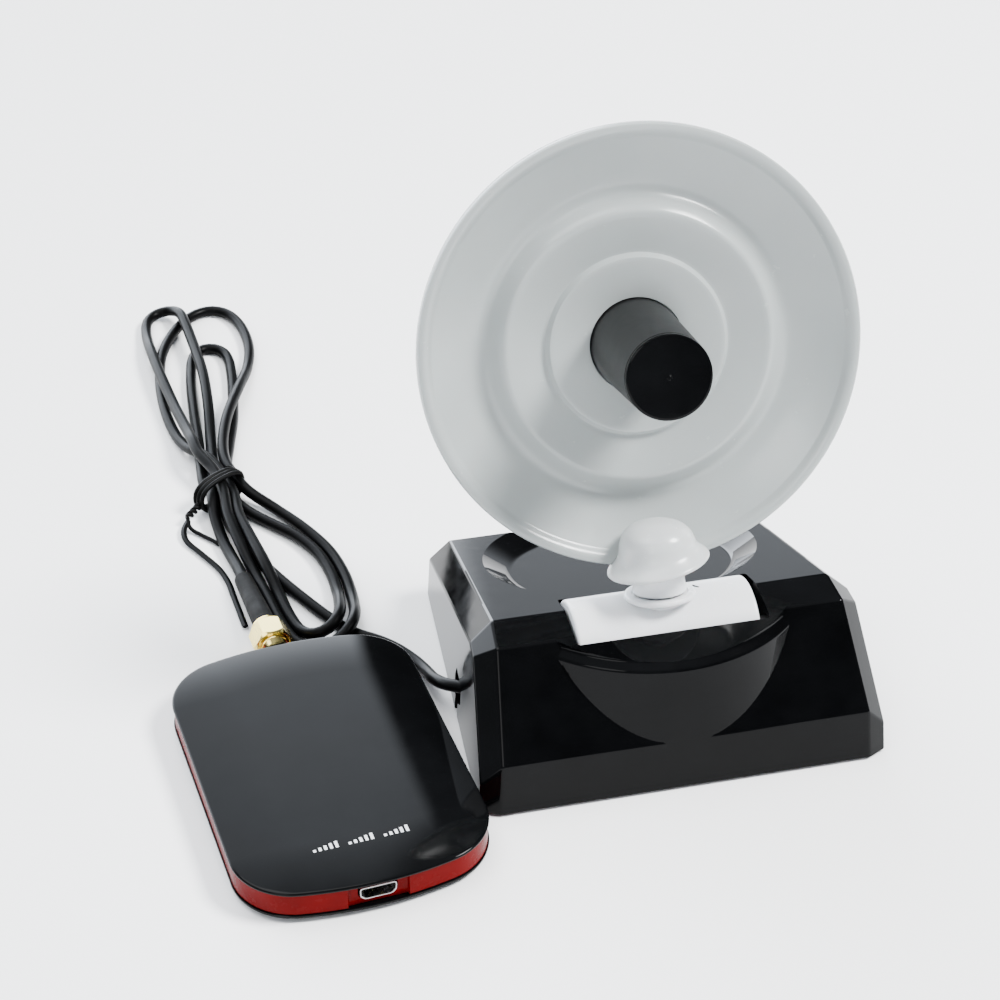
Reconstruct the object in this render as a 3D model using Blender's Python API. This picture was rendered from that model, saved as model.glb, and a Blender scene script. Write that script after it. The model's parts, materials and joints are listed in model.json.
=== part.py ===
"""High-gain wireless adapter set: a small dish aerial on a black base, a flat
USB adapter, and the hank of thin coaxial lead that joins them.

Frame: origin on the table under the middle of the base's footprint,
+X to the right of the dish, +Y to its back, +Z up. Metres.
"""
import math

import bmesh
import bpy
from mathutils import Vector

MM = 0.001
GAP = 0.3 * MM                 # room between pieces that touch
LAY_X = (0, math.radians(90), 0)  # lays a solid built about Z along X

# Base shell: corners of its right half in mm, mirrored for the left
RIDGE = (36.55, -15.0, 32.3)
SHOULDER = (41.41, -15.83, 28.09)
STRIP_END = (37.21, -22.96, 31.15)
CHEEK = (41.63, -20.6, 27.08)
CREASE = (39.46, -37.89, 12.14)
SIDE_CREASE = (43.5, -35.91, 12.14)
FOOT = (40.23, -39.15, 0.0)
REAR_TOP = (34.02, 39.15, 15.0)
SIDE_WALL = ((41.39, -15.83, 28.09), (44.2, -35.15, 0.0), (39.36, 39.15, 0.0))
SHELL_BOTTOM = 0.4 * MM
BASE_WALL = 2.2 * MM
BLOCK_HALF = 50 * MM           # half width of the block the shell is trimmed from
SCREW_PLACES = ((-32, -28, 20), (32, -28, 20), (-32, 30, 16.8), (32, 30, 16.8))  # x, y, post top in mm

# Drum that swells out of the front wall
DRUM_Y = 2.0 * MM
DRUM_FOOT_R = 40.2 * MM
DRUM_SHOULDER_R = 37.0 * MM
DRUM_SHOULDER_Z = 28.3 * MM
DRUM_RIM_R = 35.2 * MM
DRUM_RIM_Z = 29.8 * MM

# Round hollow in the sloping top
HOLLOW_Y = 17.0 * MM
HOLLOW_R = 30.5 * MM
HOLLOW_FLOOR_R = 25.0 * MM
HOLLOW_DEPTH = 3.5 * MM

# Hinge bar, lying along X
BAR_Y = -17.0 * MM
BAR_Z = 23.6 * MM
BAR_R = 10.4 * MM
BAR_LEFT = -20.3 * MM
BAR_RIGHT = 18.7 * MM
TROUGH_R = BAR_R + 0.5 * MM
TROUGH_HALF = 20.8 * MM
PIN_R = 1.5 * MM

# Swivel neck and dish
NECK_FOOT = Vector((-0.8, -16.1, 34.8)) * MM
NECK_LEAN = math.radians(17.86)
NECK_R = 5.5 * MM
SPIGOT_R = 2.6 * MM
BRIM_R = 11.0 * MM
BRIM_T = 6.3 * MM
DOME_R = 8.25 * MM
DISH_PAN = math.radians(-3.55)
DISH_UP = 51.0 * MM            # along the neck, foot to dish centre
DISH_BACK = 3.05 * MM          # rim plane behind the neck's axis
DISH_R = 46.2 * MM
DISH_WALL = 1.6 * MM
DISH_STEPS = ((9.6, -5.2), (17.4, -4.35), (18.5, -4.2), (19.0, -4.9), (20.5, -4.8),
              (26.6, -3.2), (28.0, -3.04), (30.3, -4.8))  # radius and height of the rings, mm
DISH_BOWL_R = 43.9 * MM        # where the outer bowl meets the rim's roll
DISH_BOWL_RISE = 3.7           # mm from the last step out to there
FEED_ROOT_R = 9.6 * MM
FEED_TIP_R = 8.7 * MM
FEED_ROOT_H = -5.2 * MM
FEED_TIP_H = 24.9 * MM

# Adapter
ADAPTER_AT = Vector((-73.15, -20.35, 0.0)) * MM
ADAPTER_TURN = math.radians(5.85)
ADAPTER_HALF_L = 39.8 * MM
ADAPTER_HALF_W = 26.7 * MM
ADAPTER_CORNER = 13.7 * MM
ADAPTER_BOW = math.radians(12.0)
ADAPTER_H = 8.4 * MM
COVER_T = 1.5 * MM
TRAY_T = 0.9 * MM
FOOT_H = 0.6 * MM
BAND_Z = (2.1 * MM, 6.6 * MM)
BAND_INSET = 0.35 * MM
BAND_INNER = 2.0 * MM          # inset of the band's inner face
BOARD_Z = (2.7 * MM, 3.5 * MM)
PORT_Z = 4.6 * MM
PORT_V = -0.3 * MM
PORT_HALF = (3.75 * MM, 1.45 * MM)  # half of a micro-USB shell's 7.5 x 2.9

# Connector on the adapter's rear edge
SMA_Z = 4.8 * MM
JACK_TURN = (math.radians(-90), 0, 0)
JACK_R = 3.1 * MM
NUT_AF = 8.0 * MM
NUT_U = (42.9 * MM, 48.7 * MM)
COLLAR_U = (49.0 * MM, 50.2 * MM)
BOOT_U = (50.5 * MM, 72.5 * MM)
BOOT_END_Z = 2.9 * MM
BOOT_R = (2.5 * MM, 2.3 * MM)

# Coaxial lead
CORD_R = 1.4 * MM
EXIT_AT = Vector((-37.4, -8.8, 9.45)) * MM
EXIT_WAY = Vector((-0.70, 0.66, -0.26)).normalized()
SLOT = ((-6.2, -1.0), (-3.0, -1.0), (-3.0, 4.2), (-1.7, 5.6), (-1.7, 9.2), (-3.0, 11.8),
        (-9.3, 10.9), (-9.3, 6.4), (-6.2, 4.4))      # (y, z) in mm, cut through the left wall
HANK_H = 5.6 * MM
LEAD_BASE = (
    (-37.6, -8.6, 9.37), (-39.9, -6.4, 8.5), (-41.9, -4.5, 7.8), (-44.0, -1.8, 6.8),
    (-45.4, 2.6, 5.0), (-46.0, 8.0, 3.0), (-47.6, 13.8, 1.9), (-50.6, 19.4, 1.5),
    (-54.2, 23.3, 1.5), (-57.9, 26.3, 1.5),
)
LEAD_ADAPTER = (
    (-80.6, 52.2, 2.85), (-80.9, 57.0, 2.3), (-81.3, 63.0, 1.7), (-81.9, 69.5, 1.5),
    (-82.5, 76.0, 1.5), (-82.9, 79.9, 1.5),
)
HANK_OUTLINE = (
    (-85.4, 84.5), (-86.6, 96.0), (-89.3, 108.0), (-91.8, 128.0), (-92.6, 150.0),
    (-91.4, 170.0), (-86.6, 184.0), (-80.5, 185.0), (-74.0, 183.2), (-67.0, 182.0),
    (-62.5, 174.0), (-61.9, 158.0), (-65.0, 142.0), (-69.5, 126.0), (-74.0, 110.0),
    (-76.4, 98.0), (-75.6, 90.5), (-69.2, 84.0), (-61.6, 72.0), (-56.6, 60.0),
    (-55.2, 45.0), (-56.0, 32.0), (-59.6, 24.6), (-65.0, 21.9), (-70.6, 23.6),
    (-74.2, 31.0), (-75.4, 44.0), (-77.0, 56.0), (-79.0, 68.0), (-80.6, 80.2),
)
TIE_AT = Vector((-81.2, 93.5, 0.0)) * MM
TIE_TURN = math.radians(-14.0)
TIE_HALF = 7.6 * MM
TAIL = (
    (-88.8, 90.0, 0.9), (-90.3, 84.0, 0.9), (-91.6, 78.0, 0.9), (-90.6, 73.0, 0.9),
    (-87.6, 67.0, 0.9), (-85.4, 60.0, 0.9), (-84.5, 50.0, 0.9), (-84.0, 39.0, 0.9),
)


# ---------------------------------------------------------------- helpers

def clear_scene():
    for obj in list(bpy.data.objects):
        bpy.data.objects.remove(obj, do_unlink=True)


def material(name, color, roughness, metallic=0.0):
    mat = bpy.data.materials.new(name)
    mat.use_nodes = True
    mat.diffuse_color = (*color, 1.0)
    shader = mat.node_tree.nodes["Principled BSDF"]
    shader.inputs["Base Color"].default_value = (*color, 1.0)
    shader.inputs["Roughness"].default_value = roughness
    shader.inputs["Metallic"].default_value = metallic
    return mat


def add_object(name, bm, mat, parent=None, at=(0, 0, 0), turn=(0, 0, 0), smooth=40):
    """Turn a bmesh into a named object, with its faces out and round walls smooth."""
    bmesh.ops.remove_doubles(bm, verts=bm.verts, dist=1e-7)
    bmesh.ops.recalc_face_normals(bm, faces=bm.faces)
    mesh = bpy.data.meshes.new(name)
    bm.to_mesh(mesh)
    bm.free()
    mesh.shade_smooth()
    mesh.set_sharp_from_angle(angle=math.radians(smooth))
    obj = bpy.data.objects.new(name, mesh)
    bpy.context.scene.collection.objects.link(obj)
    if mat is not None:
        mesh.materials.append(mat)
    obj.location = at
    obj.rotation_euler = turn
    obj.parent = parent
    return obj


def add_empty(name, parent=None, at=(0, 0, 0), turn=(0, 0, 0)):
    obj = bpy.data.objects.new(name, None)
    obj.empty_display_size = 0.01
    bpy.context.scene.collection.objects.link(obj)
    obj.location = at
    obj.rotation_euler = turn
    obj.parent = parent
    return obj


def combine(obj, tool, operation):
    """Union with, or cut by, another solid that is then left out of the part."""
    mod = obj.modifiers.new(operation.lower(), "BOOLEAN")
    mod.operation = operation
    mod.solver = "EXACT"
    mod.object = tool
    tool.hide_render = True
    tool.display_type = "WIRE"


def soften(obj, width, segments=2, angle=35):
    mod = obj.modifiers.new("edge", "BEVEL")
    mod.width = width
    mod.segments = segments
    mod.limit_method = "ANGLE"
    mod.angle_limit = math.radians(angle)


def turned(profile, segments=32, closed=False):
    """Spin (radius, height) points about Z. closed joins the last point to the first."""
    bm = bmesh.new()
    rings = []
    for radius, height in profile:
        if radius < 1e-9:
            rings.append([bm.verts.new((0, 0, height))])
            continue
        ring = []
        for i in range(segments):
            angle = 2 * math.pi * i / segments
            ring.append(bm.verts.new((radius * math.cos(angle), radius * math.sin(angle), height)))
        rings.append(ring)
    pairs = list(zip(rings, rings[1:]))
    if closed:
        pairs.append((rings[-1], rings[0]))
    for low, high in pairs:
        for i in range(segments):
            j = (i + 1) % segments
            corners = [low[i % len(low)], low[j % len(low)], high[j % len(high)], high[i % len(high)]]
            unique = list(dict.fromkeys(corners))
            if len(unique) > 2:
                bm.faces.new(unique)
    return bm


def rod(radius, low, high, segments=24):
    return turned([(0, low), (radius, low), (radius, high), (0, high)], segments)


def tube_ring(inner, outer, low, high, segments=32):
    return turned([(inner, low), (outer, low), (outer, high), (inner, high)], segments, True)


def prism(outline, low, high):
    bm = bmesh.new()
    face = bm.faces.new([bm.verts.new((x, y, low)) for x, y in outline])
    grown = bmesh.ops.extrude_face_region(bm, geom=[face])
    top = [v for v in grown["geom"] if isinstance(v, bmesh.types.BMVert)]
    bmesh.ops.translate(bm, vec=(0, 0, high - low), verts=top)
    return bm


def box(x, y, z):
    return prism([(x[0], y[0]), (x[1], y[0]), (x[1], y[1]), (x[0], y[1])], z[0], z[1])


def smooth_route(points, step, closed=False):
    """Even points on a Catmull-Rom curve through the route's own points."""
    pts = [Vector(p) * MM for p in points]
    count = len(pts)
    spans = count if closed else count - 1
    fine = []
    for i in range(spans):
        if closed:
            a, b, c, d = (pts[(i + k) % count] for k in (-1, 0, 1, 2))
        else:
            a, b, c, d = (pts[min(max(i + k, 0), count - 1)] for k in (-1, 0, 1, 2))
        for k in range(16):
            t = k / 16
            fine.append(0.5 * (2 * b + (c - a) * t + (2 * a - 5 * b + 4 * c - d) * t * t
                               + (3 * b - a - 3 * c + d) * t ** 3))
    if not closed:
        fine.append(pts[-1])
    out = [fine[0]]
    walked = 0.0
    for last, here in zip(fine, fine[1:]):
        walked += (here - last).length
        if walked >= step:
            out.append(here)
            walked = 0.0
    if not closed:
        out[-1] = fine[-1]
    return out


def add_tube(name, points, radius, mat, step, parent=None):
    curve = bpy.data.curves.new(name, "CURVE")
    curve.dimensions = "3D"
    curve.bevel_depth = radius
    curve.bevel_resolution = 2
    curve.use_fill_caps = True
    route = smooth_route(points, step)
    spline = curve.splines.new("POLY")
    spline.points.add(len(route) - 1)
    for knot, place in zip(spline.points, route):
        knot.co = (*place, 1.0)
    curve.materials.append(mat)
    obj = bpy.data.objects.new(name, curve)
    bpy.context.scene.collection.objects.link(obj)
    obj.parent = parent
    return obj


# ---------------------------------------------------------------- base

def facet(a, b, c):
    """A point on the plane through three points in mm, and its normal out of the shell."""
    a, b, c = (Vector(p) * MM for p in (a, b, c))
    normal = (b - a).cross(c - a).normalized()
    if normal.dot(a - Vector((0, 0, 10 * MM))) < 0:
        normal.negate()
    return a, normal


def base_planes(walls_only=False, drum=False):
    """The base's facets, as (point, outward normal) pairs."""
    planes = [
        facet((0, *REAR_TOP[1:]), RIDGE, (0, *RIDGE[1:])),
        facet((0, REAR_TOP[1], 0), (1, REAR_TOP[1], 0), (0, REAR_TOP[1], 1)),
        facet((0, *CREASE[1:]), CREASE, FOOT),
    ]
    sides = [facet(RIDGE, SHOULDER, REAR_TOP), facet(*SIDE_WALL)]
    if not walls_only:
        planes.append(facet((0, *STRIP_END[1:]), RIDGE, STRIP_END))
    if not drum and not walls_only:
        planes.append(facet((0, *STRIP_END[1:]), STRIP_END, CREASE))
        sides.append(facet(RIDGE, SHOULDER, STRIP_END))
        sides.append(facet(STRIP_END, CHEEK, CREASE))
    sides.append(facet(CREASE, SIDE_CREASE, FOOT))
    for point, normal in sides:
        planes.append((point, normal))
        planes.append((Vector((-point.x, point.y, point.z)), Vector((-normal.x, normal.y, normal.z))))
    return planes


def trim(bm, planes, inset):
    for point, normal in planes:
        geom = bm.verts[:] + bm.edges[:] + bm.faces[:]
        bmesh.ops.bisect_plane(bm, geom=geom, plane_co=point - normal * inset, plane_no=normal,
                               clear_outer=True)
        rim = [e for e in bm.edges if e.is_boundary]
        if rim:
            bmesh.ops.contextual_create(bm, geom=rim)
    return bm


def base_block(inset, low, high=BLOCK_HALF, walls_only=False):
    block = box((-BLOCK_HALF, BLOCK_HALF), (-BLOCK_HALF, BLOCK_HALF), (low, high))
    return trim(block, base_planes(walls_only), inset)


def drum_block(inset, low):
    drum = turned([(0, low), (DRUM_FOOT_R - inset, low), (DRUM_FOOT_R - inset, CREASE[2] * MM),
                   (DRUM_SHOULDER_R - inset, DRUM_SHOULDER_Z), (DRUM_RIM_R - inset, DRUM_RIM_Z),
                   (DRUM_RIM_R - inset, BLOCK_HALF), (0, BLOCK_HALF)], 64)
    bmesh.ops.translate(drum, vec=(0, DRUM_Y, 0), verts=drum.verts)
    return trim(drum, base_planes(drum=True), inset + 0.04 * MM)


def hollow_cutter(name, grow):
    """Cone that stands square on the sloping top plane."""
    slope = math.atan2(RIDGE[2] - REAR_TOP[2], REAR_TOP[1] - RIDGE[1])
    top_z = RIDGE[2] * MM - (HOLLOW_Y - RIDGE[1] * MM) * math.tan(slope)
    rise = 12 * MM
    flare = (HOLLOW_R - HOLLOW_FLOOR_R) / HOLLOW_DEPTH
    low = -HOLLOW_DEPTH - grow
    profile = [(0, low), (HOLLOW_FLOOR_R + grow, low), (HOLLOW_R + grow + flare * rise, rise), (0, rise)]
    return add_object(name, turned(profile, 64), None, at=(0, HOLLOW_Y, top_z), turn=(-slope, 0, 0))


def trough_cutter(name, grow):
    bm = rod(TROUGH_R + grow, -TROUGH_HALF - grow, TROUGH_HALF + grow, 48)
    return add_object(name, bm, None, at=(0, BAR_Y, BAR_Z), turn=LAY_X)


def build_base_shell(mat):
    shell = add_object("base_shell", base_block(0.0, SHELL_BOTTOM), mat, smooth=20)
    combine(shell, add_object("drum_form", drum_block(0.0, SHELL_BOTTOM), None), "UNION")
    cavity = add_object("cavity_cutter", base_block(BASE_WALL, -0.01), None)
    combine(cavity, add_object("drum_cavity", drum_block(BASE_WALL, -0.01), None), "UNION")
    combine(cavity, trough_cutter("trough_wall", BASE_WALL), "DIFFERENCE")
    combine(cavity, hollow_cutter("hollow_wall", BASE_WALL), "DIFFERENCE")
    combine(shell, cavity, "DIFFERENCE")
    combine(shell, hollow_cutter("hollow_cutter", 0.0), "DIFFERENCE")
    combine(shell, trough_cutter("trough_cutter", 0.0), "DIFFERENCE")
    for i, (x, y, top) in enumerate(SCREW_PLACES):
        post = tube_ring(1.4 * MM, 3.2 * MM, 3.4 * MM, top * MM, 20)
        combine(shell, add_object(f"post_form_{i + 1}", post, None, at=(x * MM, y * MM, 0)), "UNION")
    for side, x in (("left", -24 * MM), ("right", 24 * MM)):
        hole = rod(1.9 * MM, -6 * MM, 6 * MM, 20)
        cutter = add_object(f"pin_hole_{side}", hole, None, at=(x, BAR_Y, BAR_Z), turn=LAY_X)
        combine(shell, cutter, "DIFFERENCE")
    slot = prism([(y * MM, z * MM) for y, z in SLOT], -46 * MM, -38 * MM)
    turn = (math.radians(90), 0, math.radians(90))
    combine(shell, add_object("slot_cutter", slot, None, turn=turn), "DIFFERENCE")
    return shell


def build_base_floor(plate_mat, pad_mat, steel):
    plate = add_object("base_plate", base_block(BASE_WALL + GAP, 0.9 * MM, 2.9 * MM, True), plate_mat)
    for i, (x, y, _) in enumerate(SCREW_PLACES):
        profile = [(0, 0.5 * MM), (3.1 * MM, 0.5 * MM), (3.1 * MM, 2.0 * MM), (1.5 * MM, 2.0 * MM),
                   (1.5 * MM, 3.5 * MM), (0, 3.5 * MM)]
        hole = add_object(f"screw_hole_{i + 1}", turned(profile, 20), None, at=(x * MM, y * MM, 0))
        combine(plate, hole, "DIFFERENCE")
        screw = turned([(0, 0.95 * MM), (2.6 * MM, 0.95 * MM), (2.6 * MM, 1.7 * MM), (1.1 * MM, 1.75 * MM),
                        (1.1 * MM, 9 * MM), (0, 9.8 * MM)], 16)
        add_object(f"base_screw_{i + 1}", screw, steel, at=(x * MM, y * MM, 0))
    add_object("non_slip_pad", base_block(3.4 * MM, 0.0, 0.6 * MM, True), pad_mat)
    weight = box((-25 * MM, 25 * MM), (-22 * MM, 24 * MM), (3.2 * MM, 6.2 * MM))
    soften(add_object("ballast_plate", weight, steel), 1.0 * MM, 1)


def build_hinge_pins(steel, washer_mat):
    for side, sign, inner in (("left", -1, BAR_LEFT), ("right", 1, BAR_RIGHT)):
        tip = abs(inner) - 4.5 * MM
        head = TROUGH_HALF + BASE_WALL + 1.0 * MM
        profile = [(0, tip), (PIN_R, tip), (PIN_R, head), (3.0 * MM, head), (3.0 * MM, head + 1.6 * MM),
                   (0, head + 1.6 * MM)]
        turn = (0, sign * math.radians(90), 0)
        at = (0, BAR_Y, BAR_Z)
        add_object(f"pivot_pin_{side}", turned(profile, 16), steel, at=at, turn=turn)
        ring = tube_ring(1.8 * MM, 3.6 * MM, head - 0.75 * MM, head - 0.25 * MM, 16)
        add_object(f"friction_washer_{side}", ring, washer_mat, at=at, turn=turn)


def build_cable_entry(rubber, cable):
    turn = EXIT_WAY.to_track_quat("Z", "Y").to_euler()
    sleeve = [(0, -4.4 * MM), (1.9 * MM, -4.4 * MM), (2.6 * MM, -3.4 * MM), (2.6 * MM, -0.4 * MM),
              (2.2 * MM, 0), (0, 0)]
    add_object("cord_grommet", turned(sleeve, 20), rubber, at=EXIT_AT, turn=turn)
    inside = ((-34.05, -11.97, 10.7), (-32.4, -13.5, 11.3), (-29.8, -14.2, 11.3), (-27.9, -11.0, 10.4),
              (-27.4, -4.0, 9.6), (-25.0, 4.0, 9.4), (-19.0, 8.5, 9.4), (-12.0, 8.5, 9.4))
    add_tube("internal_coax", inside, CORD_R, cable, 2.2 * MM)


# ---------------------------------------------------------------- hinge bar and head

def build_hinge_bar(tilt, swivel, white, seal):
    edge = 0.6 * MM
    half = (BAR_RIGHT - BAR_LEFT) / 2
    profile = [(0, -half), (BAR_R - edge, -half), (BAR_R, -half + edge), (BAR_R, half - edge),
               (BAR_R - edge, half), (0, half)]
    middle = (BAR_LEFT + BAR_RIGHT) / 2
    bar = add_object("hinge_bar", turned(profile, 48), white, tilt, turn=LAY_X, at=(middle, 0, 0))
    collar = turned([(0, -6 * MM), (3.7 * MM, -6 * MM), (4.0 * MM, -2.6 * MM), (7.2 * MM, -1.1 * MM),
                     (7.55 * MM, -0.8 * MM), (7.55 * MM, -0.2 * MM), (7.35 * MM, 0), (0, 0)], 32)
    combine(bar, add_object("collar_form", collar, None, swivel), "UNION")
    bore = rod(SPIGOT_R + 0.09 * MM, -7.5 * MM, 1 * MM, 32)
    combine(bar, add_object("spigot_bore", bore, None, swivel), "DIFFERENCE")
    for side, x in (("left", BAR_LEFT), ("right", BAR_RIGHT)):
        hole = rod(PIN_R + 0.09 * MM, -5 * MM, 5 * MM, 24)
        combine(bar, add_object(f"bar_bore_{side}", hole, None, tilt, (x, 0, 0), LAY_X), "DIFFERENCE")
    add_object("swivel_washer", tube_ring(SPIGOT_R + GAP, 5.0 * MM, 0.3 * MM, 0.8 * MM, 24), seal, swivel)


def head_profile(grow):
    """Outline of the bowler-hat cap that grips the dish's rim."""
    base = BRIM_T - grow
    profile = [(0, base), (BRIM_R - 0.9 * MM + grow, base), (BRIM_R + grow, base + 0.4 * MM),
               (BRIM_R + grow, BRIM_T + 0.9 * MM + grow),
               (BRIM_R - 1.9 * MM + grow, BRIM_T + 1.9 * MM + grow)]
    centre = BRIM_T + 1.8 * MM
    for i in range(1, 10):
        angle = math.radians(10 * i)
        radius = DOME_R + grow
        profile.append((radius * math.cos(angle), centre + radius * math.sin(angle)))
    profile[-1] = (0, centre + DOME_R + grow)
    return profile


def build_head(swivel, white):
    neck = [(0, -7.0 * MM), (SPIGOT_R, -7.0 * MM), (SPIGOT_R, 1.1 * MM), (NECK_R, 1.1 * MM),
            (NECK_R, BRIM_T - GAP), (0, BRIM_T - GAP)]
    add_object("swivel_neck", turned(neck, 32), white, swivel)
    add_object("head_cap", turned(head_profile(0.0), 32), white, swivel)


def dish_front(radius):
    """Height of the dish's front face, measured from the rim plane."""
    if radius >= DISH_STEPS[-1][0] * MM:
        reach = (radius - DISH_STEPS[-1][0] * MM) / (DISH_BOWL_R - DISH_STEPS[-1][0] * MM)
        return (DISH_STEPS[-1][1] + DISH_BOWL_RISE * reach ** 1.7) * MM
    for (r0, h0), (r1, h1) in zip(DISH_STEPS, DISH_STEPS[1:]):
        if radius <= r1 * MM:
            return (h0 + (h1 - h0) * (radius / MM - r0) / (r1 - r0)) * MM
    return 0.0


def build_dish(dish, swivel, pale, black, gloss, brass, steel, cable):
    bore = FEED_ROOT_R + GAP
    radii = [bore] + [r * MM for r in (17.4, 18.5, 19.0, 26.6, 28.0, 30.3, 33.0, 36.5, 40.0)] + [DISH_BOWL_R]
    front = [(r, dish_front(r)) for r in radii]
    rim = [(44.6 * MM, -0.3 * MM), (45.3 * MM, 0), (45.9 * MM, -0.3 * MM), (DISH_R, -1.0 * MM),
           (DISH_R, -2.6 * MM), (45.2 * MM, -3.0 * MM)]
    back = [(r, h - DISH_WALL) for r, h in reversed(front)]
    reflector = add_object("dish_reflector", turned(front + rim + back, 56, True), pale, dish)
    room = turned(head_profile(GAP), 32)
    combine(reflector, add_object("head_room", room, None, swivel), "DIFFERENCE")
    neck_room = rod(NECK_R + GAP, 0.0, BRIM_T + 1 * MM, 32)
    combine(reflector, add_object("neck_room", neck_room, None, swivel), "DIFFERENCE")

    inner = FEED_TIP_R - 1.6 * MM
    tube = [(FEED_ROOT_R, FEED_ROOT_H - 1.8 * MM), (FEED_TIP_R, FEED_TIP_H - 1.5 * MM),
            (inner, FEED_TIP_H - 1.5 * MM), (inner + 0.6 * MM, FEED_ROOT_H - 1.8 * MM)]
    add_object("feed_tube", turned(tube, 40, True), black, dish)
    cap = [(0, FEED_TIP_H - 1.2 * MM), (FEED_TIP_R, FEED_TIP_H - 1.2 * MM),
           (FEED_TIP_R, FEED_TIP_H - 0.3 * MM), (FEED_TIP_R - 0.3 * MM, FEED_TIP_H), (0, FEED_TIP_H)]
    add_object("feed_cap", turned(cap, 40), gloss, dish)
    probe = [(0, -4.5 * MM), (0.9 * MM, -4.5 * MM), (0.9 * MM, 15.5 * MM), (5.2 * MM, 15.6 * MM),
             (5.2 * MM, 16.4 * MM), (0, 16.4 * MM)]
    add_object("feed_probe", turned(probe, 20), brass, dish)

    hub_top = FEED_ROOT_H - 2.1 * MM
    hub = [(0, hub_top - 4.4 * MM), (13.2 * MM, hub_top - 4.4 * MM), (14.0 * MM, hub_top - 3.6 * MM),
           (14.0 * MM, hub_top), (6.6 * MM, hub_top), (6.4 * MM, -4.8 * MM), (0, -4.8 * MM)]
    add_object("dish_back_hub", turned(hub, 32), pale, dish)
    nut_low = hub_top - 4.7 * MM
    nut = rod(4.6 * MM, nut_low - 2.4 * MM, nut_low, 6)
    add_object("feed_nut", nut, brass, dish)
    pigtail = ((0.0, -5.2, -13.7), (0.0, -9.0, -13.7), (0.0, -13.5, -13.5), (0.0, -18.0, -12.4),
               (0.0, -25.0, -10.4), (0.0, -32.0, -10.6), (0.0, -37.4, -10.2), (0.0, -39.8, -8.2),
               (0.0, -40.0, -5.35))
    add_tube("feed_pigtail", pigtail, 1.2 * MM, cable, 3.5 * MM, dish)


# ---------------------------------------------------------------- adapter

def adapter_outline(inset, steps=7):
    """Long rounded plate: bowed ends run into the corner arcs without a kink."""
    half_w = ADAPTER_HALF_W - inset
    half_l = ADAPTER_HALF_L - inset
    corner = ADAPTER_CORNER - inset
    join_v = half_w - corner + corner * math.sin(ADAPTER_BOW)
    bow = join_v * math.tan(ADAPTER_BOW) / 2
    centre_u = half_l - bow - corner * math.cos(ADAPTER_BOW)
    quarter = []
    for i in range(steps + 1):
        angle = (math.pi / 2 - ADAPTER_BOW) * i / steps
        quarter.append((half_w - corner + corner * math.cos(angle), centre_u + corner * math.sin(angle)))
    for share in (0.75, 0.5, 0.25):
        quarter.append((join_v * share, half_l - bow * share ** 2))
    left = [(-v, u) for v, u in reversed(quarter)]
    rear = quarter + [(0, half_l)] + left
    return rear + [(-v, -u) for v, u in rear]


def build_adapter_case(adapter, black, red):
    """Two covers and the band between them, open for the port and the jack."""
    base = FOOT_H + GAP
    tray = prism(adapter_outline(0.0), base, base + TRAY_T)
    cover = prism(adapter_outline(0.0), ADAPTER_H - COVER_T, ADAPTER_H)
    bottom = add_object("adapter_bottom_cover", tray, black, adapter)
    soften(bottom, 0.3 * MM, 1, 60)
    top = add_object("adapter_top_cover", cover, black, adapter)
    soften(top, 0.5 * MM, 2, 60)

    low, high = BAND_Z
    band = add_object("adapter_band", prism(adapter_outline(BAND_INSET), low, high), red, adapter)
    core = prism(adapter_outline(BAND_INNER), low - 1 * MM, high + 1 * MM)
    combine(band, add_object("band_core", core, None, adapter), "DIFFERENCE")
    front = -ADAPTER_HALF_L
    notch = box((-6.7 * MM, 6.2 * MM), (front - 1 * MM, front + 1.4 * MM), (low - 1 * MM, high + 1 * MM))
    combine(band, add_object("port_notch", notch, None, adapter), "DIFFERENCE")
    half_x, half_z = (half + GAP for half in PORT_HALF)
    mouth = box((PORT_V - half_x, PORT_V + half_x), (front - 1 * MM, front + 3 * MM),
                (PORT_Z - half_z, PORT_Z + half_z))
    combine(band, add_object("port_mouth", mouth, None, adapter), "DIFFERENCE")
    room = rod(JACK_R + GAP, 30 * MM, 44 * MM, 24)
    jack_room = add_object("jack_room", room, None, adapter, (0, 0, SMA_Z), JACK_TURN)
    for piece in (band, top, bottom):
        combine(piece, jack_room, "DIFFERENCE")


def build_electronics(adapter, green, steel, black, lamp):
    low, high = BOARD_Z
    board = box((-20 * MM, 20 * MM), (-33 * MM, 31 * MM), (low, high))
    add_object("adapter_board", board, green, adapter)
    can = box((-11 * MM, 11 * MM), (-4 * MM, 20 * MM), (high + GAP, high + 1.9 * MM))
    soften(add_object("shield_can", can, steel, adapter), 0.4 * MM, 1)
    chip = box((-5 * MM, 5 * MM), (-22 * MM, -12 * MM), (high + GAP, high + 1.3 * MM))
    add_object("usb_bridge_chip", chip, black, adapter)
    light = box((9 * MM, 10.6 * MM), (-30 * MM, -28.4 * MM), (high + GAP, high + 1.1 * MM))
    add_object("status_light", light, lamp, adapter)


def build_port(adapter, steel, black):
    """Micro-USB shell, its mouth to the front, and the contact tongue."""
    half_x, half_z = PORT_HALF
    cut = 0.9 * MM
    outline = [(-half_x + cut, -half_z), (half_x - cut, -half_z), (half_x, -half_z + cut), (half_x, half_z),
               (-half_x, half_z), (-half_x, -half_z + cut)]
    turn = (math.radians(90), 0, 0)
    at = (PORT_V, 0, PORT_Z)
    face = ADAPTER_HALF_L
    sleeve = prism(outline, face - 6.2 * MM, face - 0.7 * MM)
    shell = add_object("micro_usb_shell", sleeve, steel, adapter, at, turn)
    bore = prism([(x * 0.88, y * 0.84) for x, y in outline], face - 5.6 * MM, face + 1 * MM)
    combine(shell, add_object("port_bore", bore, None, adapter, at, turn), "DIFFERENCE")
    tongue = box((-2.0 * MM, 2.0 * MM), (0.0, 0.6 * MM), (face - 5.3 * MM, face - 1.7 * MM))
    add_object("micro_usb_tongue", tongue, black, adapter, at, turn)


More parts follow.
